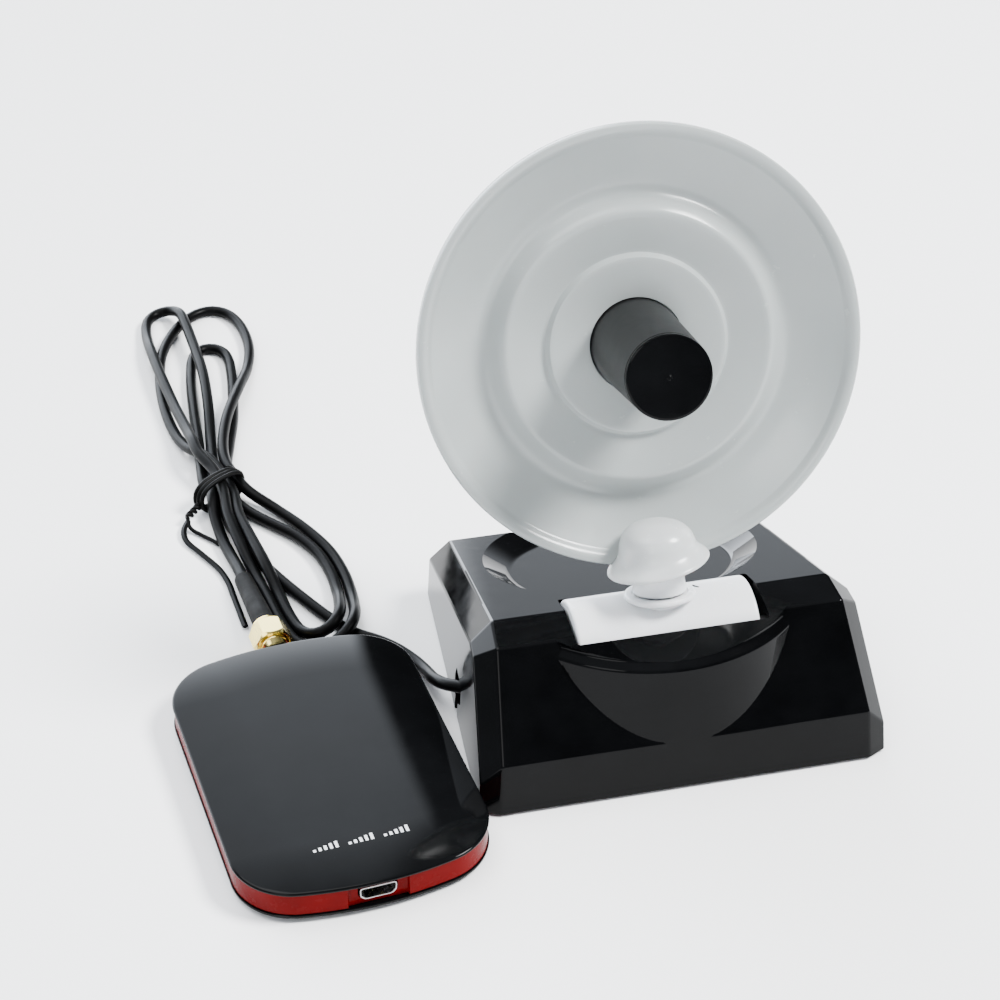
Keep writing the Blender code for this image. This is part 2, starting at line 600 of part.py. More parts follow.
def build_feet(adapter, rubber):
    for i, (v, u) in enumerate(((-17, -28), (17, -28), (17, 28), (-17, 28))):
        add_object(f"adapter_foot_{i + 1}", rod(3.2 * MM, 0, FOOT_H, 20), rubber, adapter, (v * MM, u * MM, 0))


def build_jack(adapter, brass):
    jack = [(0, 32.5 * MM), (JACK_R - 0.3 * MM, 32.5 * MM), (JACK_R - 0.3 * MM, 38 * MM),
            (JACK_R, 38.4 * MM), (JACK_R, 46.0 * MM), (2.3 * MM, 46.0 * MM), (2.3 * MM, 43.5 * MM),
            (0, 43.5 * MM)]
    add_object("sma_jack", turned(jack, 24), brass, adapter, (0, 0, SMA_Z), JACK_TURN)


def build_plug(adapter, brass, rubber):
    at = (0, 0, SMA_Z)
    low, high = NUT_U
    corner = NUT_AF / 2 / math.cos(math.pi / 6)
    bore = JACK_R + 0.15 * MM
    axis = add_empty("sma_nut_axis", adapter, at, JACK_TURN)
    nut = add_object("sma_nut", rod(corner, low, high, 6), brass, axis, smooth=30)
    soften(nut, 0.4 * MM, 1)
    cutter = add_object("nut_bore", rod(bore, low - 1 * MM, high + 1 * MM, 32), None, axis)
    combine(nut, cutter, "DIFFERENCE")
    plug = [(0, 46.3 * MM), (2.7 * MM, 46.3 * MM), (2.7 * MM, COLLAR_U[0]), (3.7 * MM, COLLAR_U[0]),
            (3.7 * MM, COLLAR_U[1]), (0, COLLAR_U[1])]
    add_object("sma_plug_body", turned(plug, 24), brass, adapter, at, JACK_TURN)
    length = BOOT_U[1] - BOOT_U[0]
    droop = math.asin((SMA_Z - BOOT_END_Z) / length)
    boot = turned([(0, 0), (BOOT_R[0], 0), (BOOT_R[0], length * 0.25), (BOOT_R[1], length * 0.4),
                   (BOOT_R[1], length - 0.4 * MM), (BOOT_R[1] - 0.4 * MM, length), (0, length)], 20)
    add_object("cord_boot", boot, rubber, adapter, (0, BOOT_U[0] + 0.2 * MM, SMA_Z),
               (math.radians(-90) - droop, 0, 0))


# ---------------------------------------------------------------- lead

def build_lead(cable, tie):
    add_tube("cord_lead_base", LEAD_BASE, CORD_R, cable, 3.5 * MM)
    add_tube("cord_lead_adapter", LEAD_ADAPTER, CORD_R, cable, 4.0 * MM)
    outline = [(p.x, p.y) for p in smooth_route([(x, y, 0) for x, y in HANK_OUTLINE], 4 * MM, True)]
    add_object("cord_hank", prism(outline, 0.0, HANK_H), cable)
    half = TIE_HALF
    wall = 0.7 * MM
    top = HANK_H + GAP
    arch = [(-half, 0), (-half + wall, 0), (-half + wall, top), (half - wall, top), (half - wall, 0),
            (half, 0), (half, top + wall), (-half, top + wall)]
    turn = (math.radians(90), 0, TIE_TURN)
    add_object("twist_tie", prism(arch, -1.6 * MM, 1.6 * MM), tie, at=TIE_AT, turn=turn)
    add_tube("twist_tie_tail", TAIL, 0.6 * MM, tie, 3.5 * MM)


def main():
    clear_scene()
    gloss_black = material("gloss black plastic", (0.012, 0.012, 0.013), 0.12)
    matt_black = material("matt black plastic", (0.02, 0.02, 0.022), 0.55)
    white = material("white plastic", (0.84, 0.85, 0.86), 0.3)
    pale = material("pale grey plastic", (0.68, 0.7, 0.7), 0.28)
    red = material("red band plastic", (0.36, 0.012, 0.014), 0.3)
    rubber = material("black rubber", (0.02, 0.02, 0.02), 0.7)
    cable = material("cable jacket", (0.014, 0.014, 0.015), 0.42)
    brass = material("gold plated brass", (0.83, 0.66, 0.3), 0.25, 1.0)
    steel = material("plated steel", (0.62, 0.62, 0.63), 0.3, 1.0)
    green = material("circuit board", (0.02, 0.16, 0.07), 0.45)
    lamp = material("light diffuser", (0.2, 0.45, 0.9), 0.3)

    tilt = add_empty("bar_tilt_axis", None, (0, BAR_Y, BAR_Z))
    swivel = add_empty("head_swivel_axis", tilt, NECK_FOOT - Vector((0, BAR_Y, BAR_Z)), (-NECK_LEAN, 0, 0))
    back = Vector((-math.sin(DISH_PAN), math.cos(DISH_PAN), 0)) * DISH_BACK
    centre = back + Vector((-0.25 * MM, 0, DISH_UP))
    dish = add_empty("dish_axis", swivel, centre, (math.radians(90), 0, DISH_PAN))
    adapter = add_empty("adapter_place", None, ADAPTER_AT, (0, 0, ADAPTER_TURN))

    build_base_shell(gloss_black)
    build_base_floor(matt_black, rubber, steel)
    build_hinge_pins(steel, rubber)
    build_cable_entry(rubber, cable)
    build_hinge_bar(tilt, swivel, white, rubber)
    build_head(swivel, white)
    build_dish(dish, swivel, pale, matt_black, gloss_black, brass, steel, cable)
    build_adapter_case(adapter, gloss_black, red)
    build_electronics(adapter, green, steel, matt_black, lamp)
    build_port(adapter, steel, matt_black)
    build_feet(adapter, rubber)
    build_jack(adapter, brass)
    build_plug(adapter, brass, rubber)
    build_lead(cable, rubber)
    bpy.context.view_layer.update()


main()
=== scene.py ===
import json
import math

import bmesh
import bpy
from mathutils import Euler, Matrix, Vector


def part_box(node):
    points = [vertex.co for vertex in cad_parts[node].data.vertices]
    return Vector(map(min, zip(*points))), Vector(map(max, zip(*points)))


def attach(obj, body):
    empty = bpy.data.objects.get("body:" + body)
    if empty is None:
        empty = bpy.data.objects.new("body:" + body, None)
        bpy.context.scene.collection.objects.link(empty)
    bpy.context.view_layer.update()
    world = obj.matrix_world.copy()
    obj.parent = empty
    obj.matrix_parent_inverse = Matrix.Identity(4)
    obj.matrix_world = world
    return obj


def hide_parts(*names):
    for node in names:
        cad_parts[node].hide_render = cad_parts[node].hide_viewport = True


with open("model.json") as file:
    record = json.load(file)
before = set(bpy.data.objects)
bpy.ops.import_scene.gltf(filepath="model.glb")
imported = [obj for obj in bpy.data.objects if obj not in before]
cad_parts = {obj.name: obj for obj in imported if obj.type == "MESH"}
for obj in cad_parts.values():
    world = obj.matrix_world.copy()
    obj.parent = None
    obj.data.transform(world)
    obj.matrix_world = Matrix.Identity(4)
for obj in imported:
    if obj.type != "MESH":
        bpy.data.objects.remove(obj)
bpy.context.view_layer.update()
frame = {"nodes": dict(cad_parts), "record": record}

MM = 0.001

# Places and sizes shared with the CAD model
BAR_AXIS = Vector((0.0, -17.0, 23.6)) * MM
BAR_R = 10.4 * MM
BAR_LEFT = -20.3 * MM
BAR_RIGHT = 18.7 * MM
NECK_FOOT = Vector((-0.8, -16.1, 34.8)) * MM
NECK_LEAN = math.radians(17.86)
DISH_PAN = math.radians(-3.55)
DISH_UP = 51.0 * MM
DISH_BACK = 3.05 * MM
DISH_SIDE = -0.25 * MM
ADAPTER_AT = Vector((-73.15, -20.35, 0.0)) * MM
ADAPTER_TURN = math.radians(5.85)
ADAPTER_HALF_L = 39.8 * MM
ADAPTER_HALF_W = 26.7 * MM
ADAPTER_CORNER = 13.7 * MM
ADAPTER_BOW = math.radians(12.0)
SMA_Z = 4.8 * MM
PORT_Z = 4.6 * MM
PORT_V = -0.3 * MM
SLEEVE_START = 50.7 * MM
CORD_R = 1.4 * MM
TIE_AT = Vector((-81.0, 88.0, 0.0)) * MM

# The lines in the middle of the base where its facets meet, in mm, and the hollow behind them
REAR_Y, REAR_TOP_Z = 39.15, 15.0
RIDGE_Y, RIDGE_Z = -15.0, 32.3
STRIP_Y, STRIP_Z = -22.96, 31.15
CREASE_Y, CREASE_Z = -37.89, 12.14
HOLLOW_Y = 17.0

# The view of the photo
CAMERA_AT = Vector((-124.48, -398.32, 332.1)) * MM
CAMERA_TURN = (math.radians(55.58), 0, math.radians(-13.18))
CAMERA_LENS = 86.06


def place(at, turn, parent=None):
    """The matrix of a place and an Euler turn, inside a parent frame if one is given."""
    here = Matrix.Translation(at) @ Euler(turn).to_matrix().to_4x4()
    return parent @ here if parent is not None else here


WORLD = Matrix.Identity(4)
LAY_X = (0, math.radians(90), 0)
SWIVEL = place(NECK_FOOT, (-NECK_LEAN, 0, 0))
DISH_SHIFT = Vector((-math.sin(DISH_PAN), math.cos(DISH_PAN), 0)) * DISH_BACK
DISH = place(DISH_SHIFT + Vector((DISH_SIDE, 0, DISH_UP)), (math.radians(90), 0, DISH_PAN), SWIVEL)
ADAPTER = place(ADAPTER_AT, (0, 0, ADAPTER_TURN))
JACK = place((0, 0, SMA_Z), (math.radians(-90), 0, 0), ADAPTER)
PORT = place((PORT_V, 0, PORT_Z), (math.radians(90), 0, 0), ADAPTER)


# ---------------------------------------------------------------- camera, floor, light

def add_camera():
    data = bpy.data.cameras.new("camera")
    data.lens = CAMERA_LENS
    data.sensor_width = 36.0
    data.clip_start = 0.01
    camera = bpy.data.objects.new("camera", data)
    bpy.context.scene.collection.objects.link(camera)
    camera.location = CAMERA_AT
    camera.rotation_euler = CAMERA_TURN
    bpy.context.scene.camera = camera


def add_light(name, at, target, size, power):
    """Round area light, in metres and watts, turned towards its target."""
    data = bpy.data.lights.new(name, "AREA")
    data.shape = "DISK"
    data.size = size
    data.energy = power
    light = bpy.data.objects.new(name, data)
    bpy.context.scene.collection.objects.link(light)
    light.location = at
    light.rotation_euler = (Vector(target) - Vector(at)).to_track_quat("-Z", "Y").to_euler()


def add_world():
    """Grey room: a pale backdrop behind and to the left, darkness to the right and in front.

    The ramps run over the view direction's parts, from -1 to 1."""
    world = bpy.data.worlds.new("studio")
    world.use_nodes = True
    bpy.context.scene.world = world
    nodes = world.node_tree.nodes
    links = world.node_tree.links
    back = nodes["Background"]
    coords = nodes.new("ShaderNodeTexCoord")
    split = nodes.new("ShaderNodeSeparateXYZ")
    links.new(coords.outputs["Generated"], split.inputs[0])

    def ramp(axis, low, high, at_low, at_high):
        node = nodes.new("ShaderNodeMapRange")
        node.interpolation_type = "SMOOTHSTEP"
        links.new(split.outputs[axis], node.inputs["Value"])
        node.inputs["From Min"].default_value = low
        node.inputs["From Max"].default_value = high
        node.inputs["To Min"].default_value = at_low
        node.inputs["To Max"].default_value = at_high
        return node.outputs[0]

    def combine(operation, a, b):
        node = nodes.new("ShaderNodeMath")
        node.operation = operation
        links.new(a, node.inputs[0])
        links.new(b, node.inputs[1])
        return node.outputs[0]

    backdrop = combine("MULTIPLY", ramp("X", 0.125, 0.18, 13.0, 0.1), ramp("Y", 0.35, 0.8, 0.04, 1.0))
    raised = combine("MULTIPLY", backdrop, ramp("Z", 0.3, 0.75, 1.0, 0.35))
    horizon = combine("MULTIPLY", ramp("Z", 0.02, 0.3, 1.5, 0.0), ramp("Y", -0.2, 0.7, 0.25, 1.0))
    ceiling = ramp("Z", 0.5, 1.0, 0.12, 1.2)
    links.new(combine("ADD", combine("ADD", raised, horizon), ceiling), back.inputs["Strength"])
    back.inputs["Color"].default_value = (0.86, 0.92, 1.0, 1.0)


FLOOR_HALF = 3.0
FLOOR_GAP = 0.05 * MM


def add_floor():
    bm = bmesh.new()
    bmesh.ops.create_grid(bm, x_segments=1, y_segments=1, size=FLOOR_HALF)
    mesh = bpy.data.meshes.new("floor")
    bm.to_mesh(mesh)
    bm.free()
    floor = bpy.data.objects.new("floor", mesh)
    bpy.context.scene.collection.objects.link(floor)
    floor.location = (0, 0, -FLOOR_GAP)
    mat = bpy.data.materials.new("floor")
    mat.use_nodes = True
    shader = mat.node_tree.nodes["Principled BSDF"]
    shader.inputs["Base Color"].default_value = (0.94, 0.94, 0.94, 1)
    shader.inputs["Roughness"].default_value = 0.9
    shader.inputs["Specular IOR Level"].default_value = 0.1
    mesh.materials.append(mat)


# ---------------------------------------------------------------- materials

CLOUD_SCALE = 120.0
GLOSS_SCALE = CLOUD_SCALE * 2.7


def material(name, color, spread, roughness, rough_spread, grain, bump, metallic=0.0,
             subsurface=0.0, specular=0.5):
    """Moulded or plated surface: cloudy colour and gloss, with a fine grain in the normal.

    color and roughness vary by the given spreads over patches; grain is the bump's
    frequency per metre and bump its height in metres."""
    mat = bpy.data.materials.new(name)
    mat.use_nodes = True
    nodes = mat.node_tree.nodes
    links = mat.node_tree.links
    shader = nodes["Principled BSDF"]
    coords = nodes.new("ShaderNodeTexCoord")
    cloud = nodes.new("ShaderNodeTexNoise")
    cloud.inputs["Scale"].default_value = CLOUD_SCALE
    cloud.inputs["Detail"].default_value = 5.0
    links.new(coords.outputs["Object"], cloud.inputs["Vector"])
    ramp = nodes.new("ShaderNodeValToRGB")
    low = [max(c * (1 - spread), 0) for c in color]
    high = [min(c * (1 + spread), 1) for c in color]
    ramp.color_ramp.elements[0].position = 0.3
    ramp.color_ramp.elements[0].color = (*low, 1)
    ramp.color_ramp.elements[1].position = 0.7
    ramp.color_ramp.elements[1].color = (*high, 1)
    links.new(cloud.outputs["Fac"], ramp.inputs["Fac"])
    links.new(ramp.outputs["Color"], shader.inputs["Base Color"])
    gloss = nodes.new("ShaderNodeTexNoise")
    gloss.inputs["Scale"].default_value = GLOSS_SCALE
    gloss.inputs["Detail"].default_value = 8.0
    gloss.inputs["Roughness"].default_value = 0.65
    links.new(coords.outputs["Object"], gloss.inputs["Vector"])
    spreader = nodes.new("ShaderNodeMapRange")
    spreader.inputs["From Min"].default_value = 0.3
    spreader.inputs["From Max"].default_value = 0.7
    spreader.inputs["To Min"].default_value = max(roughness - rough_spread, 0.02)
    spreader.inputs["To Max"].default_value = roughness + rough_spread
    links.new(gloss.outputs["Fac"], spreader.inputs["Value"])
    links.new(spreader.outputs[0], shader.inputs["Roughness"])
    shader.inputs["Metallic"].default_value = metallic
    shader.inputs["Specular IOR Level"].default_value = specular
    if subsurface:
        shader.inputs["Subsurface Weight"].default_value = subsurface
        shader.inputs["Subsurface Scale"].default_value = 0.002
    fine = nodes.new("ShaderNodeTexNoise")
    fine.inputs["Scale"].default_value = grain
    fine.inputs["Detail"].default_value = 3.0
    links.new(coords.outputs["Object"], fine.inputs["Vector"])
    relief = nodes.new("ShaderNodeBump")
    relief.inputs["Strength"].default_value = 1.0
    relief.inputs["Distance"].default_value = bump
    links.new(fine.outputs["Fac"], relief.inputs["Height"])
    links.new(relief.outputs["Normal"], shader.inputs["Normal"])
    return mat


def make_materials():
    return {
        "gloss_black": material("gloss black moulding", (0.0013, 0.0014, 0.0016), 0.3, 0.06, 0.025, 900,
                                4e-7, specular=0.085),
        "matt_black": material("matt black moulding", (0.003, 0.003, 0.0032), 0.2, 0.5, 0.08, 4200,
                               6e-6, specular=0.1),
        "feed_black": material("satin black tube", (0.005, 0.005, 0.0052), 0.06, 0.4, 0.015, 3600,
                               6e-7, specular=0.2),
        "white_plastic": material("white moulding", (0.74, 0.75, 0.765), 0.012, 0.24, 0.05, 1100,
                                  8e-7, subsurface=0.05),
        "cap_plastic": material("cap moulding", (0.49, 0.51, 0.51), 0.015, 0.24, 0.05, 1100,
                                8e-7, subsurface=0.05),
        "pale_plastic": material("pale grey moulding", (0.32, 0.345, 0.34), 0.015, 0.23, 0.05, 800,
                                 8e-7, subsurface=0.03),
        "red_band": material("red moulding", (0.105, 0.0005, 0.0008), 0.12, 0.26, 0.05, 1500,
                             1.5e-6, specular=0.04),
        "black_rubber": material("black rubber", (0.0035, 0.0034, 0.0032), 0.3, 0.62, 0.1, 5200,
                                 6e-6, specular=0.07),
        "cable_jacket": material("cable jacket", (0.0018, 0.0018, 0.0019), 0.3, 0.36, 0.05, 2600,
                                 2e-6, specular=0.05),
        "tie_wire": material("tie jacket", (0.0018, 0.0018, 0.0018), 0.3, 0.42, 0.08, 3000,
                             3e-6, specular=0.05),
        "gold_brass": material("gold plating", (0.88, 0.72, 0.26), 0.07, 0.17, 0.05, 2200,
                               1.2e-6, metallic=1.0),
        "plated_steel": material("plated steel", (0.40, 0.39, 0.39), 0.08, 0.26, 0.06, 2400,
                                 2e-6, metallic=1.0),
        "circuit_board": material("solder mask", (0.015, 0.14, 0.06), 0.15, 0.4, 0.08, 2500, 4e-6),
        "light_diffuser": material("clear diffuser", (0.35, 0.5, 0.85), 0.1, 0.2, 0.05, 1500, 2e-6),
        "print": material("white print", (0.62, 0.63, 0.64), 0.06, 0.45, 0.08, 5200, 3e-6),
    }


# ---------------------------------------------------------------- mesh helpers

def in_metres(points):
    """Profile points given in mm."""
    return [(r * MM, h * MM) for r, h in points]


def turned(profile, segments=96, closed=False):
    """Spin (radius, height) points about Z."""
    bm = bmesh.new()
    rings = []
    for radius, height in profile:
        if radius < 1e-9:
            rings.append([bm.verts.new((0, 0, height))])
            continue
        ring = []
        for i in range(segments):
            angle = 2 * math.pi * i / segments
            ring.append(bm.verts.new((radius * math.cos(angle), radius * math.sin(angle), height)))
        rings.append(ring)
    pairs = list(zip(rings, rings[1:]))
    if closed:
        pairs.append((rings[-1], rings[0]))
    for low, high in pairs:
        for i in range(segments):
            j = (i + 1) % segments
            corners = [low[i % len(low)], low[j % len(low)], high[j % len(high)], high[i % len(high)]]
            unique = list(dict.fromkeys(corners))
            if len(unique) > 2:
                bm.faces.new(unique)
    return bm


def rounded(points, radius, closed=False, steps=4):
    """The outline with its corners turned into small curves."""
    pts = [Vector(p) for p in points]
    count = len(pts)
    out = []
    for i, corner in enumerate(pts):
        if not closed and i in (0, count - 1):
            out.append(tuple(corner))
            continue
        before = pts[(i - 1) % count] - corner
        after = pts[(i + 1) % count] - corner
        reach = min(radius, before.length * 0.45, after.length * 0.45)
        start = corner + before.normalized() * reach
        end = corner + after.normalized() * reach
        for k in range(steps + 1):
            t = k / steps
            out.append(tuple(start * (1 - t) ** 2 + corner * 2 * t * (1 - t) + end * t * t))
    return out


def smooth_line(points, steps=6):
    """Catmull-Rom points through a few profile points."""
    pts = [Vector(p) for p in points]
    last = len(pts) - 1
    out = []
    for i in range(last):
        a, b, c, d = (pts[min(max(i + k, 0), last)] for k in (-1, 0, 1, 2))
        for k in range(steps):
            t = k / steps
            out.append(tuple(0.5 * (2 * b + (c - a) * t + (2 * a - 5 * b + 4 * c - d) * t * t
                                    + (3 * b - a - 3 * c + d) * t ** 3)))
    out.append(tuple(pts[-1]))
    return out


def prism(outline, low, high):
    """Upright block on an outline of (x, y) points."""
    bm = bmesh.new()
    face = bm.faces.new([bm.verts.new((x, y, low)) for x, y in outline])
    grown = bmesh.ops.extrude_face_region(bm, geom=[face])
    top = [v for v in grown["geom"] if isinstance(v, bmesh.types.BMVert)]
    bmesh.ops.translate(bm, vec=(0, 0, high - low), verts=top)
    return bm


def rod(radius, low, high, segments=64):
    return turned([(0, low), (radius, low), (radius, high), (0, high)], segments)


def box(x, y, z):
    """Block between the given pairs of x, y and z."""
    return prism([(x[0], y[0]), (x[1], y[0]), (x[1], y[1]), (x[0], y[1])], z[0], z[1])


def merge(target, source):
    """Adds a loose shell to a bmesh."""
    mesh = bpy.data.meshes.new("part")
    source.to_mesh(mesh)
    source.free()
    target.from_mesh(mesh)
    bpy.data.meshes.remove(mesh)


def make(name, bm, mat, matrix=WORLD, smooth=32):
    """Object from a bmesh, smooth but for creases above the given angle in degrees."""
    bmesh.ops.remove_doubles(bm, verts=bm.verts, dist=1e-7)
    bmesh.ops.recalc_face_normals(bm, faces=bm.faces)
    bm.transform(matrix)
    mesh = bpy.data.meshes.new(name)
    bm.to_mesh(mesh)
    bm.free()
    mesh.shade_smooth()
    mesh.set_sharp_from_angle(angle=math.radians(smooth))
    obj = bpy.data.objects.new(name, mesh)
    bpy.context.scene.collection.objects.link(obj)
    if mat is not None:
        mesh.materials.append(mat)
    return obj


def soften(obj, width, segments=2, angle=30):
    mod = obj.modifiers.new("edge", "BEVEL")
    mod.width = width
    mod.segments = segments
    mod.limit_method = "ANGLE"
    mod.angle_limit = math.radians(angle)


def boolean(obj, tool, operation):
    mod = obj.modifiers.new(operation.lower(), "BOOLEAN")
    mod.operation = operation
    mod.solver = "EXACT"
    mod.object = tool


def bake(obj, tools=(), smooth=32):
    """Applies the modifiers, drops the tools, and sets smooth shading with sharp creases."""
    graph = bpy.context.evaluated_depsgraph_get()
    mesh = bpy.data.meshes.new_from_object(obj.evaluated_get(graph))
    obj.modifiers.clear()
    old = obj.data
    obj.data = mesh
    bpy.data.meshes.remove(old)
    mesh.shade_smooth()
    mesh.set_sharp_from_angle(angle=math.radians(smooth))
    for tool in tools:
        bpy.data.objects.remove(tool, do_unlink=True)
    even = obj.modifiers.new("even normals", "WEIGHTED_NORMAL")
    even.keep_sharp = True


def settle(obj, body, slot, *nodes):
    """Sets a piece's body and hides the CAD nodes that it stands for; the slot argument is not used."""
    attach(obj, body)
    if nodes:
        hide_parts(*nodes)
    return obj


# ---------------------------------------------------------------- lead

# The lead's centreline in mm, from the base's slot through the tie and the hank's folds to the plug
LEAD_BASE = (
    (-37.6, -8.6, 9.37), (-39.9, -6.4, 8.5), (-41.9, -4.5, 7.8), (-44.0, -1.8, 6.8),
    (-45.4, 2.6, 5.0), (-46.0, 8.0, 3.0), (-47.6, 13.8, 1.9), (-50.6, 19.4, 1.5),
    (-54.2, 23.3, 1.5), (-57.9, 26.3, 1.5),
)
TO_TIE = (
    (-61.2, 30.4, 1.45), (-64.2, 35.6, 1.45), (-68.0, 43.0, 1.45), (-72.0, 51.4, 1.45),
    (-75.8, 60.6, 1.45), (-78.8, 70.4, 1.45), (-80.9, 79.6, 1.45), (-82.0, 88.0, 1.45),
)
FAR_INNER = (
    (-84.0, 94.5, 1.45), (-83.8, 102.0, 1.45), (-83.1, 114.0, 1.45), (-82.4, 128.0, 1.45),
    (-81.6, 140.0, 1.45), (-80.7, 148.0, 1.45), (-79.9, 153.0, 1.45), (-78.6, 157.0, 1.45),
    (-76.3, 159.4, 1.45), (-73.3, 159.4, 1.45), (-71.0, 157.0, 1.45), (-70.1, 153.0, 1.45),
    (-70.2, 147.0, 1.45), (-71.0, 138.0, 1.45), (-72.8, 124.0, 1.45), (-75.6, 111.0, 1.45),
    (-77.6, 101.5, 1.45),
)
NEAR_INNER = (
    (-78.6, 92.0, 1.45), (-77.6, 86.0, 1.45), (-74.6, 79.8, 1.45), (-70.2, 73.9, 1.45),
    (-65.4, 67.4, 1.6), (-61.7, 59.4, 1.7), (-60.0, 50.6, 1.7), (-59.8, 42.4, 1.9),
    (-60.3, 37.0, 3.2), (-61.0, 32.6, 4.2), (-62.5, 29.2, 4.3), (-65.0, 27.3, 3.5),
    (-68.0, 27.7, 2.4), (-70.2, 30.2, 1.7), (-71.4, 34.2, 1.45), (-72.4, 39.8, 1.5),
    (-73.3, 46.8, 2.0), (-74.7, 55.0, 3.9), (-76.4, 65.0, 4.3), (-78.0, 76.0, 4.3),
    (-77.9, 85.0, 4.2),
)
FAR_OUTER = (
    (-79.3, 93.5, 4.2), (-81.6, 101.0, 4.4), (-84.2, 105.6, 4.1), (-86.4, 111.0, 2.6),
    (-88.3, 119.0, 1.6), (-89.5, 131.0, 1.45), (-89.2, 145.0, 1.45), (-87.4, 158.0, 1.45),
    (-83.8, 168.0, 1.45), (-79.6, 175.0, 1.45), (-75.2, 179.0, 1.45), (-70.8, 179.8, 1.45),
    (-67.2, 177.2, 1.45), (-64.9, 172.0, 1.45), (-63.8, 164.5, 1.45), (-64.0, 156.0, 1.45),
    (-66.0, 146.5, 1.6), (-70.0, 134.0, 3.6),
    (-74.6, 120.5, 4.4), (-77.4, 108.5, 4.2), (-77.9, 100.0, 4.0),
)
NEAR_OUTER = (
    (-76.5, 93.0, 3.9), (-73.9, 86.5, 3.2), (-68.4, 79.6, 1.7), (-63.0, 70.4, 1.45),
    (-58.9, 60.4, 1.45), (-57.0, 50.4, 1.45), (-56.7, 42.0, 1.45), (-57.1, 36.0, 2.4),
    (-57.8, 31.2, 3.8), (-59.2, 27.2, 4.3), (-61.6, 24.4, 3.6), (-65.0, 22.9, 2.4),
    (-68.6, 23.4, 1.6), (-71.4, 25.9, 1.45), (-73.2, 29.8, 1.45), (-74.6, 36.0, 1.45),
    (-75.8, 45.0, 1.45), (-77.4, 55.0, 1.7), (-79.2, 65.0, 3.6), (-80.5, 75.6, 4.9),
    (-80.4, 84.0, 5.6),
)
FAR_LEFT = (
    (-81.3, 92.5, 6.2), (-84.2, 101.0, 6.7), (-85.0, 107.0, 6.8), (-85.7, 114.0, 5.8),
    (-87.4, 129.0, 4.6), (-89.0, 145.0, 4.2), (-89.9, 158.0, 3.4), (-90.1, 167.0, 2.1),
    (-89.9, 172.6, 1.6), (-89.1, 177.2, 1.5), (-87.0, 180.4, 1.6), (-84.0, 181.0, 2.2),
    (-81.4, 179.0, 3.2), (-80.0, 175.2, 4.2), (-79.4, 170.0, 4.4), (-78.9, 163.0, 4.3),
    (-78.4, 154.0, 4.3), (-78.0, 142.0, 4.3), (-78.6, 128.0, 3.4), (-79.8, 115.0, 1.8),
    (-80.8, 103.0, 1.45),
)
TO_PLUG = (
    (-81.0, 97.6, 1.6), (-81.4, 93.6, 3.0), (-82.3, 89.2, 4.2), (-83.2, 84.0, 4.0),
    (-83.5, 78.0, 2.7), (-82.8, 70.0, 1.5),
    (-81.6, 62.0, 1.6), (-80.9, 56.6, 2.3), (-80.5, 51.6, 2.92),
)
LEAD_STEP = 1.5 * MM


def lead_route():
    """Close, even points along the whole lead, kept a radius above the floor."""
    knots = LEAD_BASE + TO_TIE + FAR_INNER + NEAR_INNER + FAR_OUTER + NEAR_OUTER + FAR_LEFT + TO_PLUG
    fine = [Vector(p) * MM for p in smooth_line(knots, 12)]
    out = [fine[0]]
    for point in fine[1:]:
        if (point - out[-1]).length >= LEAD_STEP:
            point.z = max(point.z, CORD_R)
            out.append(point)
    out[-1] = fine[-1]
    return out


def add_lead(mat):
    """The lead as one curve, and its length in metres."""
    route = lead_route()
    data = bpy.data.curves.new("coaxial_lead", "CURVE")
    data.dimensions = "3D"
    data.bevel_depth = CORD_R
    data.bevel_resolution = 6
    data.use_fill_caps = True
    spline = data.splines.new("POLY")
    spline.points.add(len(route) - 1)
    for knot, point in zip(spline.points, route):
        knot.co = (*point, 1.0)
    spline.use_smooth = True
    data.materials.append(mat)
    lead = bpy.data.objects.new("coaxial_lead", data)
    bpy.context.scene.collection.objects.link(lead)
    length = sum((b - a).length for a, b in zip(route, route[1:]))
    settle(lead, "base", "cable_jacket", "cord_lead_base", "cord_hank", "cord_lead_adapter")
    return lead, length


def add_wire(name, points, radius, mat, *nodes):
    """Round tie wire along the points."""
    data = bpy.data.curves.new(name, "CURVE")
    data.dimensions = "3D"
    data.bevel_depth = radius
    data.bevel_resolution = 4
    data.use_fill_caps = True
    data.resolution_u = 6
    spline = data.splines.new("BEZIER")
    spline.bezier_points.add(len(points) - 1)
    for knot, point in zip(spline.bezier_points, points):
        knot.co = point
        knot.handle_left_type = "AUTO"
        knot.handle_right_type = "AUTO"
    data.materials.append(mat)
    wire = bpy.data.objects.new(name, data)
    bpy.context.scene.collection.objects.link(wire)
    return settle(wire, "base", "tie_wire", *nodes)


def squared(value, power):
    """A cosine or sine pulled outwards, which turns a circle into a rounded square."""
    return math.copysign(abs(value) ** power, value)


def add_ribbon(name, points, half_width, half_thick, mat, *nodes):
    """Flat strip with rounded edges that lies along the points, its width level."""
    line = [Vector(p) for p in smooth_line([Vector(p) * MM for p in points], 5)]
    sides = 12
    bm = bmesh.new()
    rows = []
    for i, here in enumerate(line):
        ahead = line[min(i + 1, len(line) - 1)] - line[max(i - 1, 0)]
        side = Vector((ahead.y, -ahead.x, 0)).normalized()
        up = side.cross(ahead).normalized()
        row = []
        for k in range(sides):
            angle = 2 * math.pi * k / sides
            across = squared(math.cos(angle), 0.6) * half_width
            lift = squared(math.sin(angle), 0.8) * half_thick
            swell = 1.0 + 0.8 * max(0.0, 1 - abs(across) / (half_width * 0.35))
            row.append(bm.verts.new(here + side * across + up * lift * swell))
        rows.append(row)
    for a, b in zip(rows, rows[1:]):
        for k in range(sides):
            after = (k + 1) % sides
            bm.faces.new((a[k], a[after], b[after], b[k]))
    bm.faces.new(rows[0])
    bm.faces.new(list(reversed(rows[-1])))
    return settle(make(name, bm, mat), "base", "tie_wire", *nodes)


